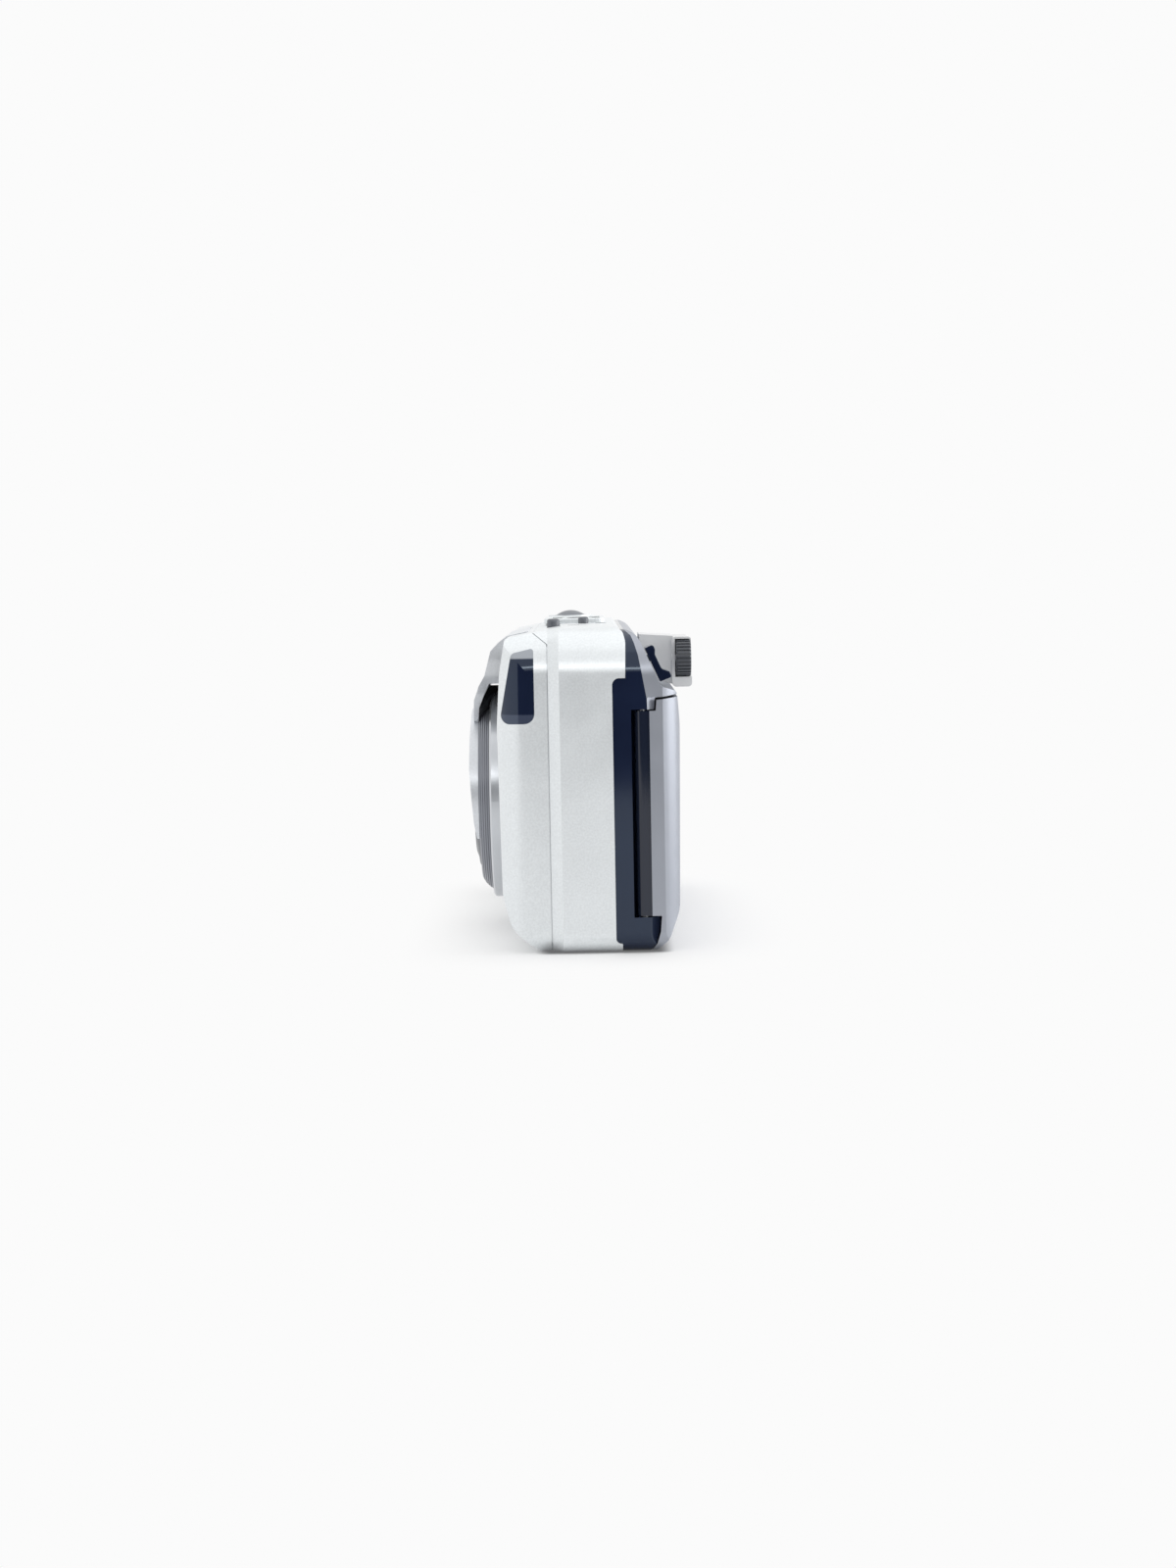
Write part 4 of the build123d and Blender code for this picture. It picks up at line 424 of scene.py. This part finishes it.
# %% [markdown]
# ## A door with three faces
#
# The film door is one moulding with three finishes. Its back is sprayed with the slate lacquer, its hinge
# knuckle was masked and stays polished black, and its inside is bare grained black so that no light strays
# onto the film. We could split the mesh, but the CAD pieces stay as they are, so the material decides by
# place: everything ahead of the knuckle's rear edge is polished, and everything inside the rim and above
# its floor is matt.

# %% Door lacquer
knuckle_end = 13.35 * mm
inner_face = 18.7 * mm
rim_half = 56.2 * mm
rim_floor = 8.5 * mm
door_lacquer = slate_satin.copy()
door_lacquer.name = "masked_slate_lacquer_on_abs"
tree = door_lacquer.node_tree
shader = tree.nodes["Principled BSDF"]
place = add_node(tree, "ShaderNodeTexCoord").outputs["Object"]
axes = add_node(tree, "ShaderNodeSeparateXYZ", {"Vector": place})
ahead = add_node(tree, "ShaderNodeMath", {0: axes.outputs["Y"], 1: knuckle_end}, operation="LESS_THAN")
near_end = add_node(tree, "ShaderNodeMath", {0: axes.outputs["X"], 1: rim_half}, operation="GREATER_THAN")
polished = add_node(tree, "ShaderNodeMath", {0: ahead.outputs[0], 1: near_end.outputs[0]},
                    operation="MULTIPLY")
across = add_node(tree, "ShaderNodeMath", {0: axes.outputs["X"]}, operation="ABSOLUTE")
inside = add_node(tree, "ShaderNodeMath", {0: across.outputs[0], 1: rim_half}, operation="LESS_THAN")
under = add_node(tree, "ShaderNodeMath", {0: axes.outputs["Y"], 1: inner_face}, operation="LESS_THAN")
above = add_node(tree, "ShaderNodeMath", {0: axes.outputs["Z"], 1: rim_floor}, operation="GREATER_THAN")
matt = add_node(tree, "ShaderNodeMath", {0: inside.outputs[0], 1: under.outputs[0]}, operation="MULTIPLY")
matt = add_node(tree, "ShaderNodeMath", {0: matt.outputs[0], 1: above.outputs[0]}, operation="MULTIPLY")
for socket, kind, polished_value, matt_value in (
        ("Base Color", "RGBA", linear("#1B2130"), linear("#17181A")),
        ("Roughness", "FLOAT", 0.08, 0.55),
        ("Metallic", "FLOAT", 0.0, 0.0)):
    target = shader.inputs[socket]
    value = target.links[0].from_socket if target.is_linked else target.default_value
    for where, other_value in ((polished, polished_value), (matt, matt_value)):
        step = add_node(tree, "ShaderNodeMix", {"Factor": where.outputs[0], "A": value, "B": other_value},
                        data_type=kind)
        value = step.outputs["Result"]
    tree.links.new(value, target)
print("door", door_lacquer.name)

# %% [markdown]
# ## Painted reflections on the bevels of the corner window
#
# The dark corner window is polished like the rear body, and its upper and lower edges are bevelled. Their
# reflections are painted: the upper bevel is painted grey for the light above, the lower one dark blue-grey
# for the floor it faces. A copy of the polished finish gets two bands that begin where the bevels do.

# %% Bevelled window finish with painted reflections
window_floor, window_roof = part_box("corner_window")[0][2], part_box("corner_window")[1][2]
bevel_height = 1.9 * mm
bevel_blend = 0.15 * bevel_height
window_painted_reflections = navy_gloss.copy()
window_painted_reflections.name = "navy_black_abs_painted_bevel_reflections"
tree = window_painted_reflections.node_tree
shader = tree.nodes["Principled BSDF"]
place = add_node(tree, "ShaderNodeTexCoord").outputs["Object"]
height = add_node(tree, "ShaderNodeSeparateXYZ", {"Vector": place}).outputs["Z"]
colour = shader.inputs["Base Color"].links[0].from_socket
# Painted reflections: the lower bevel's dark blue-grey stands for the floor it mirrors, the upper bevel's
# grey for the light above.
for edge, inwards, shade in ((window_floor, 1, "#3E4557"), (window_roof, -1, "#A2A6AC")):
    full = edge + inwards * bevel_height
    reflection_band = add_node(tree, "ShaderNodeMapRange", {
        "Value": height, "From Min": full + inwards * bevel_blend, "From Max": full})
    colour = add_node(tree, "ShaderNodeMix", {"Factor": reflection_band.outputs[0], "A": colour, "B": linear(shade)},
                      data_type="RGBA").outputs["Result"]
tree.links.new(colour, shader.inputs["Base Color"])
print("window", window_painted_reflections.name)

# %% [markdown]
# ## Clear parts
#
# The windows are clear acrylic and the lenses are coated glass. Both let light through, so we use
# transmission at the index of the real material, 1.49 and 1.52, with next to no roughness. A lens coating
# throws back a faint magenta or green, which is a thin film on the shader. The flash window spreads its
# light with upright prisms, which a wave raises in the bump.

# %% Clear acrylic and coated glass
haze_size = 4.0


def clear(name, tint, rough, ior, film_nm, rib_mm=0.0):
    """Clear material. Ribs are the upright prisms of a flash window, in millimetres from one to the next."""
    made, tree, shader, place = start_material(name)
    for socket, value in (("Base Color", linear(tint)), ("IOR", ior), ("Transmission Weight", 1.0),
                          ("Thin Film Thickness", film_nm), ("Thin Film IOR", 1.38)):
        shader.inputs[socket].default_value = value
    haze = add_node(tree, "ShaderNodeTexNoise", {"Vector": place, "Scale": per_mm(haze_size), "Detail": 3.0})
    gloss = add_node(tree, "ShaderNodeMapRange", {
        "Value": haze.outputs["Fac"], "From Min": 0.35, "From Max": 0.65,
        "To Min": rough * 0.5, "To Max": rough})
    tree.links.new(gloss.outputs[0], shader.inputs["Roughness"])
    if rib_mm:
        # A wave band repeats after pi / 10 divided by its scale. The prisms are a quarter as deep as wide.
        bands = add_node(tree, "ShaderNodeTexWave", {"Vector": place, "Scale": math.pi / 10 / (rib_mm * mm)},
                         wave_type="BANDS", bands_direction="X")
        raised = add_node(tree, "ShaderNodeBump", {
            "Height": bands.outputs["Fac"], "Strength": 1.0, "Distance": rib_mm * 0.25 * mm})
        tree.links.new(raised.outputs[0], shader.inputs["Normal"])
    return made


coated_glass = clear("coated_optical_glass", "#FAFBFA", 0.01, 1.52, 380.0)
clear_acrylic = clear("clear_acrylic", "#F4F6F8", 0.03, 1.49, 0.0)
prism_acrylic = clear("prismatic_clear_acrylic", "#F2F5F7", 0.05, 1.49, 0.0, rib_mm=0.8)
print("clear", coated_glass.name, clear_acrylic.name, prism_acrylic.name)

# %% [markdown]
# ## Who wears what
#
# The record names a material slot for every CAD piece. We dress slot by slot, then give a few pieces a
# finish of their own where the real camera differs inside one slot.

# %% Dress the CAD pieces
slot_finish = {
    "silver_paint": silver_lacquer, "light_grey": grey_lacquer, "dark_gloss": navy_gloss,
    "dark_satin": slate_satin, "lens_charcoal": surround_abs, "barrel_grey": barrel_paint,
    "black_plastic": black_abs, "button_grey": button_abs, "grip_rubber": grip_rubber, "steel": zinc_steel,
    "black_steel": black_oxide, "brass": turned_brass, "white_nylon": natural_nylon,
    "optical_glass": coated_glass, "window_clear": clear_acrylic, "board_green": green_laminate,
    "reflector": anodised_ring, "cell_wrap": printed_sleeve,
}
own_finish = {
    "lens_bezel": anodised_ring, "film_door": door_lacquer, "diopter_wheel": knurled_abs,
    "flash_button": wheel_abs, "timer_button": wheel_abs, "door_latch": charcoal_abs,
    "eyepiece_housing": eyepiece_abs, "zoom_ring": silver_lacquer, "flash_window": prism_acrylic,
    "corner_window": window_painted_reflections,
}
for row in frame["record"]["subparts"]:
    worn = own_finish.get(row["node"], slot_finish[row["material_slot"]])
    for slot in nodes[row["node"]].material_slots:
        slot.material = worn

# %% [markdown]
# ## Small pieces that the CAD leaves out
#
# The pieces that follow are thin: printed marks, display segments, seals and contacts. Each starts as a
# Blender primitive, is shaped in edit mode and finished with modifiers. One helper makes everything that is
# live on a piece part of its mesh. A second one also gives the piece its finish, its slot and its body. A
# third one finds the surface of a CAD piece with a ray, so that a mark lies on it exactly. The others make
# blocks, frames and copies.

# %% Helpers for added pieces
smooth_angle = math.radians(35)
above_all, before_all = 90.0, -60.0
down, backward = (0, 0, -1), (0, 1, 0)


def freeze(piece):
    """Apply the modifiers of a piece, and then its place, turn and size."""
    bare()
    piece.select_set(True)
    bpy.context.view_layer.objects.active = piece
    for modifier in list(piece.modifiers):
        bpy.ops.object.modifier_apply(modifier=modifier.name)
    bpy.ops.object.transform_apply(location=True, rotation=True, scale=True)


def settle(piece, name, worn, body="camera"):
    """Finish the mesh of a piece, give it its material and attach it to its body."""
    freeze(piece)
    piece.name = name
    piece.data.materials.clear()
    piece.data.materials.append(worn)
    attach(piece, body)
    return piece


def surface(node, start_mm, way):
    """First point of a CAD piece that a ray meets, in millimetres. The start is in millimetres too."""
    found, place, _, _ = nodes[node].ray_cast(Vector(start_mm) * mm, Vector(way))
    if not found:
        raise RuntimeError(f"the ray from {start_mm} misses {node}")
    return place / mm


def rounded_block(size_mm, place_mm, edge_mm, segments=3):
    """A block with rounded edges, or bevelled ones if there is one segment."""
    bare()
    bpy.ops.mesh.primitive_cube_add(size=1.0, location=[v * mm for v in place_mm])
    block = bpy.context.object
    block.scale = [v * mm for v in size_mm]
    bpy.ops.object.transform_apply(location=False, rotation=False, scale=True)
    bpy.ops.object.mode_set(mode="EDIT")
    bpy.ops.mesh.select_all(action="SELECT")
    bpy.ops.mesh.bevel(offset=edge_mm * mm, segments=segments, affect="EDGES")
    bpy.ops.object.mode_set(mode="OBJECT")
    bpy.ops.object.shade_smooth_by_angle(angle=smooth_angle)
    return block


def copy_of(piece, shift_mm=(0, 0, 0)):
    """A copy with its own mesh, moved by a shift in millimetres."""
    twin = piece.copy()
    twin.data = piece.data.copy()
    twin.location = piece.location + Vector(shift_mm) * mm
    bpy.context.scene.collection.objects.link(twin)
    return twin


def join(pieces):
    """Make one piece of several."""
    bare()
    for piece in pieces:
        piece.select_set(True)
    bpy.context.view_layer.objects.active = pieces[0]
    bpy.ops.object.join()
    return bpy.context.object


def picture_frame(width_mm, height_mm, border_mm, thick_mm, place_mm, turn=(0, 0, 0), corner_mm=0.3):
    """A flat frame: a plane with rounded corners, inset, its middle deleted, and given a thickness."""
    bare()
    bpy.ops.mesh.primitive_plane_add(size=1.0, location=[v * mm for v in place_mm], rotation=turn)
    made = bpy.context.object
    made.scale = (width_mm * mm, height_mm * mm, 1.0)
    bpy.ops.object.transform_apply(location=False, rotation=False, scale=True)
    bpy.ops.object.mode_set(mode="EDIT")
    bpy.ops.mesh.select_all(action="SELECT")
    bpy.ops.mesh.bevel(offset=corner_mm * mm, segments=5, affect="VERTICES")
    bpy.ops.mesh.inset(thickness=border_mm * mm)
    bpy.ops.mesh.delete(type="FACE")
    bpy.ops.object.mode_set(mode="OBJECT")
    wall = made.modifiers.new("thickness", "SOLIDIFY")
    wall.thickness = thick_mm * mm
    wall.offset = 0.0
    return made


lens_x = (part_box("lens_bezel")[0][0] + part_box("lens_bezel")[1][0]) / 2 / mm
lens_z = (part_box("lens_bezel")[0][2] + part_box("lens_bezel")[1][2]) / 2 / mm
print("lens axis at", round(lens_x, 2), round(lens_z, 2))

# %% [markdown]
# ## Finishes for the small pieces
#
# Marks are pad printed in grey or white ink, and the display shows black liquid crystal on a grey-green
# ground with a painted glow. The contacts are gold plated, the seal of the door's window is open-cell foam,
# and the dark ring round the lens, which paints the shadow gap there, is rubber. All are made with the
# functions above.

# %% Inks, display, gold and foam
# Pad printing lays down a thin matt film of ink with a barely visible grain.
mark_ink = finish("grey_printing_ink", "#4A4D52", 0.5, 0.15, 0.001, drift=0.05)
pale_ink = finish("white_printing_ink", "#E4E6E8", 0.5, 0.15, 0.001, drift=0.03)
# The display's ground is a mirror foil; the light it throws back from the window is a painted glow, an
# emission of its own colour.
display_ground_painted_glow = finish("grey_green_display_glass_painted_glow", "#A8AFA2", 0.2, 0.6, 0.0005, drift=0.03,
                        Emission_Color=linear("#A8AFA2"), Emission_Strength=0.5)
liquid_crystal = finish("black_liquid_crystal", "#22262A", 0.3, 0.2, 0.0005, drift=0.03)
# The contacts are spring strips with a thin plating of gold, so they stay bright.
gold_plate = metal("gold_plated_spring", "#D9B45C", 0.22, 0.12, (1, 1, 5), 0.001)
pore_size = 0.35


def pores(tree, place):
    cells = add_node(tree, "ShaderNodeTexVoronoi", {"Vector": place, "Scale": per_mm(pore_size)},
                     feature="F1")
    return cells.outputs["Distance"]


# Foam with open pores swallows the light that falls on it, and the rubber of the dark ring, a painted shadow
# gap, has a dull sheen.
seal_foam = patterned("open_cell_black_foam", "#1E1F21", "#0B0B0C", 0.9, pores, depth_mm=0.1)
shadow_gap_rubber = patterned("matt_black_rubber_painted_shadow_gap", "#15171C", "#1C1E24", 0.55, fine_noise, depth_mm=0.004)
print("all finishes", len(bpy.data.materials))

# %% [markdown]
# ## Dark ring in the shadow gap round the bezel
#
# Between the bright bezel and the bridge lies a black wedge of shade. A dark rubber ring put there paints
# that shadow: it is an open tube round the lens axis, cut aslant so that only its upper part remains, and
# Solidify gives it its wall.

# %% Dark ring for the painted shadow gap
# Painted shade: a dark rubber ring fills the shadow gap between the bezel and the bridge.
shadow_gap_radius = 22.95
shadow_gap_depth = 4.9
shadow_gap_middle = -21.95
shadow_gap_wall = 2.0
shadow_gap_lip = 0.12
cut_y, cut_above_axis = -24.4, 18.0
cut_normal = (0, -0.74, 0.67)
bare()
bpy.ops.mesh.primitive_cylinder_add(
    vertices=128, radius=shadow_gap_radius * mm, depth=shadow_gap_depth * mm, end_fill_type="NOTHING",
    location=(lens_x * mm, shadow_gap_middle * mm, lens_z * mm), rotation=(math.radians(90), 0, 0))
shadow_gap_ring = bpy.context.object
bpy.ops.object.transform_apply(location=True, rotation=True, scale=True)
bpy.ops.object.mode_set(mode="EDIT")
bpy.ops.mesh.select_all(action="SELECT")
cut_point = Vector((0, cut_y, lens_z + cut_above_axis)) * mm
bpy.ops.mesh.bisect(plane_co=cut_point, plane_no=cut_normal, clear_inner=True)
bpy.ops.object.mode_set(mode="OBJECT")
wall = shadow_gap_ring.modifiers.new("wall", "SOLIDIFY")
wall.thickness = shadow_gap_wall * mm
wall.offset = 1.0
lip = shadow_gap_ring.modifiers.new("lip", "BEVEL")
lip.width = shadow_gap_lip * mm
lip.segments = 2
settle(shadow_gap_ring, "lens_shadow_gap_ring", shadow_gap_rubber)
bpy.ops.object.shade_smooth_by_angle(angle=smooth_angle)
print("shadow_gap_ring", [round(v / mm, 1) for v in shadow_gap_ring.dimensions])

# %% [markdown]
# ## The deck display
#
# A display digit is seven bars, of which some are on. We model one bar, a thin block with bevelled edges,
# and copy it to the places that a two and a four need. Three short, thick copies in a frame are the battery
# gauge. The photographer reads the display from behind the camera, so the reading direction is -X and up is
# -Y.

# %% Display bars
bar_length = 2.0
bar_width = 0.36
bar_thick = 0.06
thin_edge = 0.02
digit_half_width = 1.1
digit_half_height = 2.25
display_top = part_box("lcd_panel")[1][2] / mm
display_y = -2.5
gauge_x, gauge_y = -6.5, display_y - 1.2
gauge_width, gauge_height, gauge_line = 4.9, 2.2, 0.22
cell_step, cell_stretch = 1.3, (0.45, 3.4, 1.0)
bar_places = {
    "top": (0, 2, False), "middle": (0, 0, False), "bottom": (0, -2, False), "upper_right": (1, 1, True),
    "lower_right": (1, -1, True), "upper_left": (-1, 1, True), "lower_left": (-1, -1, True),
}
digits = {
    "two": (3.4, ["top", "upper_right", "middle", "lower_left", "bottom"]),
    "four": (0.0, ["upper_left", "middle", "upper_right", "lower_right"]),
}
bar_z = display_top + bar_thick / 2
bar = rounded_block((bar_length, bar_width, bar_thick), (0, 0, bar_z), thin_edge, 1)
lit_bars = []
for digit_x, names in digits.values():
    for name in names:
        across, up_steps, upright = bar_places[name]
        bar_x = digit_x - across * digit_half_width
        bar_y = display_y - up_steps * digit_half_height / 2
        twin = copy_of(bar, (bar_x, bar_y, 0))
        twin.rotation_euler = (0, 0, math.radians(90) if upright else 0)
        lit_bars.append(twin)
for step in (-1, 0, 1):
    cell = copy_of(bar, (gauge_x - step * cell_step, gauge_y, 0))
    cell.scale = cell_stretch
    lit_bars.append(cell)
bpy.data.objects.remove(bar)
outline = picture_frame(gauge_width, gauge_height, gauge_line, bar_thick, (gauge_x, gauge_y, bar_z))
freeze(outline)
settle(join(lit_bars + [outline]), "display_segments", liquid_crystal)
for slot in nodes["lcd_panel"].material_slots:
    slot.material = display_ground_painted_glow
print("display bars", len(lit_bars))

# %% [markdown]
# ## Rim of the display window
#
# The window lies in a low silver rim, which also hides its dark side walls. A flat frame with rounded
# corners gets a thickness and a soft upper edge.

# %% Display rim
window_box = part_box("lcd_window")
rim_width, rim_wall, rim_corner, rim_edge = 1.2, 0.55, 2.0, 0.25
rim_proud = 0.1
rim_foot = 69.9
window_size = [(window_box[1][i] - window_box[0][i]) / mm for i in (0, 1)]
window_centre = [(window_box[1][i] + window_box[0][i]) / 2 / mm for i in (0, 1)]
rim_top = window_box[1][2] / mm + rim_proud
rim_height = rim_top - rim_foot
rim = picture_frame(window_size[0] + 2 * rim_wall, window_size[1] + 2 * rim_wall, rim_width, rim_height,
                    (*window_centre, rim_top - rim_height / 2), corner_mm=rim_corner)
edge = rim.modifiers.new("soft_edge", "BEVEL")
edge.width = rim_edge * mm
edge.segments = 3
settle(rim, "display_rim", silver_lacquer)
print("rim", [round(v / mm, 1) for v in rim.dimensions])

# %% [markdown]
# ## Printed marks
#
# Generic letters and signs tell the controls apart: W and T for wide and tele beside the zoom ring, a bolt
# beside the flash button, a clock beside the timer button, and two little frames beside the picture format
# switch. Text is made a mesh before its place is applied. Each mark stands a few hundredths of a millimetre
# proud, and the letters reach further down, because the deck is slightly crowned below them.

# %% Letters on the deck
def printed_sign(sign, size_mm, half_thick_mm):
    """A sign as a mesh, centred on the origin and as thick above it as below."""
    bare()
    bpy.ops.object.text_add(location=(0, 0, 0))
    made = bpy.context.object
    made.data.body = sign
    made.data.size = size_mm * mm
    made.data.extrude = half_thick_mm * mm
    made.data.align_x = "CENTER"
    made.data.align_y = "CENTER"
    bpy.ops.object.convert(target="MESH")
    return made


# A capital letter is about 0.7 of its font size high.
capital_height, capital_share = 1.9, 0.7
letter_size = capital_height / capital_share
letter_half_thick = 0.09
letter_proud = 0.03
letter_x, wide_y, tele_y = -47.6, 1.6, -6.4


def letter(sign, y):
    """One printed letter on the deck, upright for a reader behind the camera."""
    made = printed_sign(sign, letter_size, letter_half_thick)
    top = max(surface("main_shell", (letter_x + aside, y + along, above_all), down).z
              for aside in (-1, 1) for along in (-1, 1))
    made.location = Vector((letter_x, y, top + letter_proud - letter_half_thick)) * mm
    made.rotation_euler = (0, 0, math.pi)
    return made


settle(letter("W", wide_y), "mark_wide", mark_ink)
settle(letter("T", tele_y), "mark_tele", mark_ink)
print("letters at x", letter_x, "and y", wide_y, tele_y)

# %% Bolt and clock
mark_thick = 0.08
bolt_x, bolt_y = 30.0, -2.6
wedge_radius, wedge_stretch = 1.0, (0.42, 1.1, 1.0)
wedge_aside, wedge_along = 0.18, 0.72
deck_z = surface("main_shell", (bolt_x, bolt_y, above_all), down).z
wedges = []
for side, turn in ((1, 0), (-1, math.pi)):
    bare()
    wedge_place = Vector((bolt_x + side * wedge_aside, bolt_y - side * wedge_along, deck_z))
    bpy.ops.mesh.primitive_cylinder_add(
        vertices=3, radius=wedge_radius * mm, depth=mark_thick * mm, rotation=(0, 0, turn),
        location=wedge_place * mm)
    wedge = bpy.context.object
    wedge.scale = wedge_stretch
    wedges.append(wedge)
settle(join(wedges), "mark_flash", mark_ink)
clock_x, clock_y = 12.0, 3.6
dial_radius, dial_line, dial_flatness = 1.15, 0.16, 0.25
hand_width, long_hand, short_hand = 0.22, 0.85, 0.6
long_shift, short_shift = 0.4, 0.25
bare()
bpy.ops.mesh.primitive_torus_add(
    major_radius=dial_radius * mm, minor_radius=dial_line * mm, major_segments=48, minor_segments=8,
    location=(clock_x * mm, clock_y * mm, deck_z * mm))
dial = bpy.context.object
dial.scale = (1, 1, dial_flatness)
hands = [rounded_block(size, place, thin_edge, 1) for size, place in (
    ((hand_width, long_hand, mark_thick), (clock_x, clock_y - long_shift, deck_z)),
    ((short_hand, hand_width, mark_thick), (clock_x - short_shift, clock_y, deck_z)))]
settle(join([dial] + hands), "mark_timer", mark_ink)
print("bolt and clock at z", round(deck_z, 2))

# %% Frames beside the format switch
slope_normal = Vector((0, 0.912, 0.411))
slope_turn = math.radians(-65.7)
slope_y, slope_z = 11.75, 66.7
ray_length = 6.0
picture_width, picture_line, picture_thick = 2.8, 0.3, 0.06
for name, mark_x, mark_height in (("mark_full_frame", 44.5, 1.9), ("mark_panorama", 38.6, 1.0)):
    ray_start = Vector((mark_x, slope_y, slope_z)) + slope_normal * ray_length
    spot = surface("rear_cap", ray_start, -slope_normal)
    mark = picture_frame(picture_width, picture_width, picture_line, picture_thick, (0, 0, 0))
    mark.scale = (1.0, mark_height / picture_width, 1.0)
    mark.rotation_euler = (slope_turn, 0, 0)
    mark.location = spot * mm
    settle(mark, name, mark_ink)
print("format marks", picture_width, "mm wide")

# %% [markdown]
# ## Focal lengths on the front ring
#
# The front ring of the lens states the range of its zoom. Each sign is a text of its own, made a mesh,
# moved out to the radius of the lettering and then turned about the lens axis by the angle of its place.

# %% Lettering round the lens
ring_text = "38-76mm"
ring_radius = 12.6
ring_sign_size = 2.1
ring_sign_half_thick = 0.03
sign_step = math.radians(8.0)
ring_face = min(surface(name, (lens_x, before_all, lens_z + ring_radius), backward).y
                for name in ("front_lens_cell", "inner_barrel"))
axis = Matrix.Translation(Vector((lens_x, ring_face, lens_z)) * mm)
outwards = Matrix.Translation((0, 0, ring_radius * mm))
upright = Matrix.Rotation(math.radians(90), 4, "X")
signs = []
for count, sign in enumerate(ring_text):
    made = printed_sign(sign, ring_sign_size, ring_sign_half_thick)
    around = Matrix.Rotation((count - (len(ring_text) - 1) / 2) * sign_step, 4, "Y")
    made.matrix_world = axis @ around @ outwards @ upright
    signs.append(made)
settle(join(signs), "mark_focal_lengths", pale_ink, "inner_tube")
print("lettering at y", round(ring_face, 2))

# %% [markdown]
# ## Painted shade in the crosses of the case screws
#
# Four screws hold the shells from below. Their heads have a cross recess, which is not cut: two dark
# bars each, a few hundredths of a millimetre proud of the steel, are painted shade in the recess.

# %% Screw crosses, painted shade
screw_places = [(-34.0, -6.0), (20.0, -6.5), (-34.0, 9.3), (18.0, 9.3)]
head_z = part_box("case_screws")[0][2] / mm
recess_length, recess_width = 2.0, 0.42
recess_shade_bars = []
for screw_x, screw_y in screw_places:
    # Each bar is painted shade: dark oxide where the cross recess would lie in shadow.
    for size_x, size_y in ((recess_length, recess_width), (recess_width, recess_length)):
        recess_shade_bars.append(rounded_block((size_x, size_y, mark_thick), (screw_x, screw_y, head_z), thin_edge, 1))
settle(join(recess_shade_bars), "screw_recesses_painted_shade", black_oxide)
print("recess_shade_bars", len(screw_places))

# %% [markdown]
# ## Inside the film door
#
# With the door open we look into the film chamber. Ten sprung contacts read the code on the cartridge, and
# a frame of foam round the door's little window keeps light off the film. One contact is modelled on the
# chamber's front wall, and its copies are turned about the chamber's axis, so that each one stands square on
# the round wall.

# %% Cartridge contacts
chamber_x, chamber_y, chamber_radius = -24.2, 1.6, 12.9
contact_size, contact_edge = (1.9, 0.7, 2.9), 0.25
contact_out = 0.1
contact_rows = 5
contact_step = 4.6
contact_low = 20.5
contact_turn = math.radians(11)
first = rounded_block(contact_size, (chamber_x, chamber_y - chamber_radius + contact_out, 0), contact_edge)
freeze(first)
axis = Vector((chamber_x, chamber_y, 0)) * mm
to_axis, from_axis = Matrix.Translation(-axis), Matrix.Translation(axis)
contacts = []
for row in range(contact_rows):
    for side in (-1, 1):
        twin = copy_of(first)
        around = from_axis @ Matrix.Rotation(side * contact_turn, 4, "Z") @ to_axis
        twin.matrix_world = Matrix.Translation((0, 0, (contact_low + row * contact_step) * mm)) @ around
        contacts.append(twin)
bpy.data.objects.remove(first)
settle(join(contacts), "cartridge_contacts", gold_plate)
print("contacts", len(contacts))

# %% Foam round the door's window
window_low, window_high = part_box("film_window")
foam_x = (window_low[0] + window_high[0]) / 2 / mm
foam_z = (window_low[2] + window_high[2]) / 2 / mm
foam_width, foam_height, foam_border, foam_thick = 13.4, 31.4, 2.0, 0.8
foam_sink, foam_edge = 0.05, 0.2
ray_x, ray_y = foam_x - 6.0, 14.6
door_y = surface("film_door", (ray_x, ray_y, foam_z), backward).y
foam_y = door_y - foam_thick / 2 + foam_sink
seal = picture_frame(foam_width, foam_height, foam_border, foam_thick, (foam_x, foam_y, foam_z),
                     turn=(math.radians(90), 0, 0))
edge = seal.modifiers.new("soft_edge", "BEVEL")
edge.width = foam_edge * mm
edge.segments = 3
settle(seal, "door_window_seal", seal_foam, "door")
print("seal at y", round(foam_y, 2))

# %% [markdown]
# ## Ribs on the grip
#
# Nine low ribs run across the rubber grip, so that the fingers find hold. One rib is a block with well
# rounded edges. Each copy is set on the pad's own surface, which a ray finds, so the ribs follow the pad
# where it bends.

# %% Grip ribs
rib_x, rib_length, rib_depth, rib_height = -45.2, 15.5, 0.9, 1.3
rib_edge, rib_proud = 0.4, 0.35
rib_count, rib_low, rib_step = 9, 17.9, 3.9
rib = rounded_block((rib_length, rib_depth, rib_height), (0, 0, 0), rib_edge, 4)
ribs = []
for count in range(rib_count):
    rib_z = rib_low + count * rib_step
    pad_y = surface("grip_pad", (rib_x, before_all, rib_z), backward).y
    ribs.append(copy_of(rib, (rib_x, pad_y + rib_depth / 2 - rib_proud, rib_z)))
bpy.data.objects.remove(rib)
settle(join(ribs), "grip_ribs", grip_rubber)
print("ribs", len(ribs))
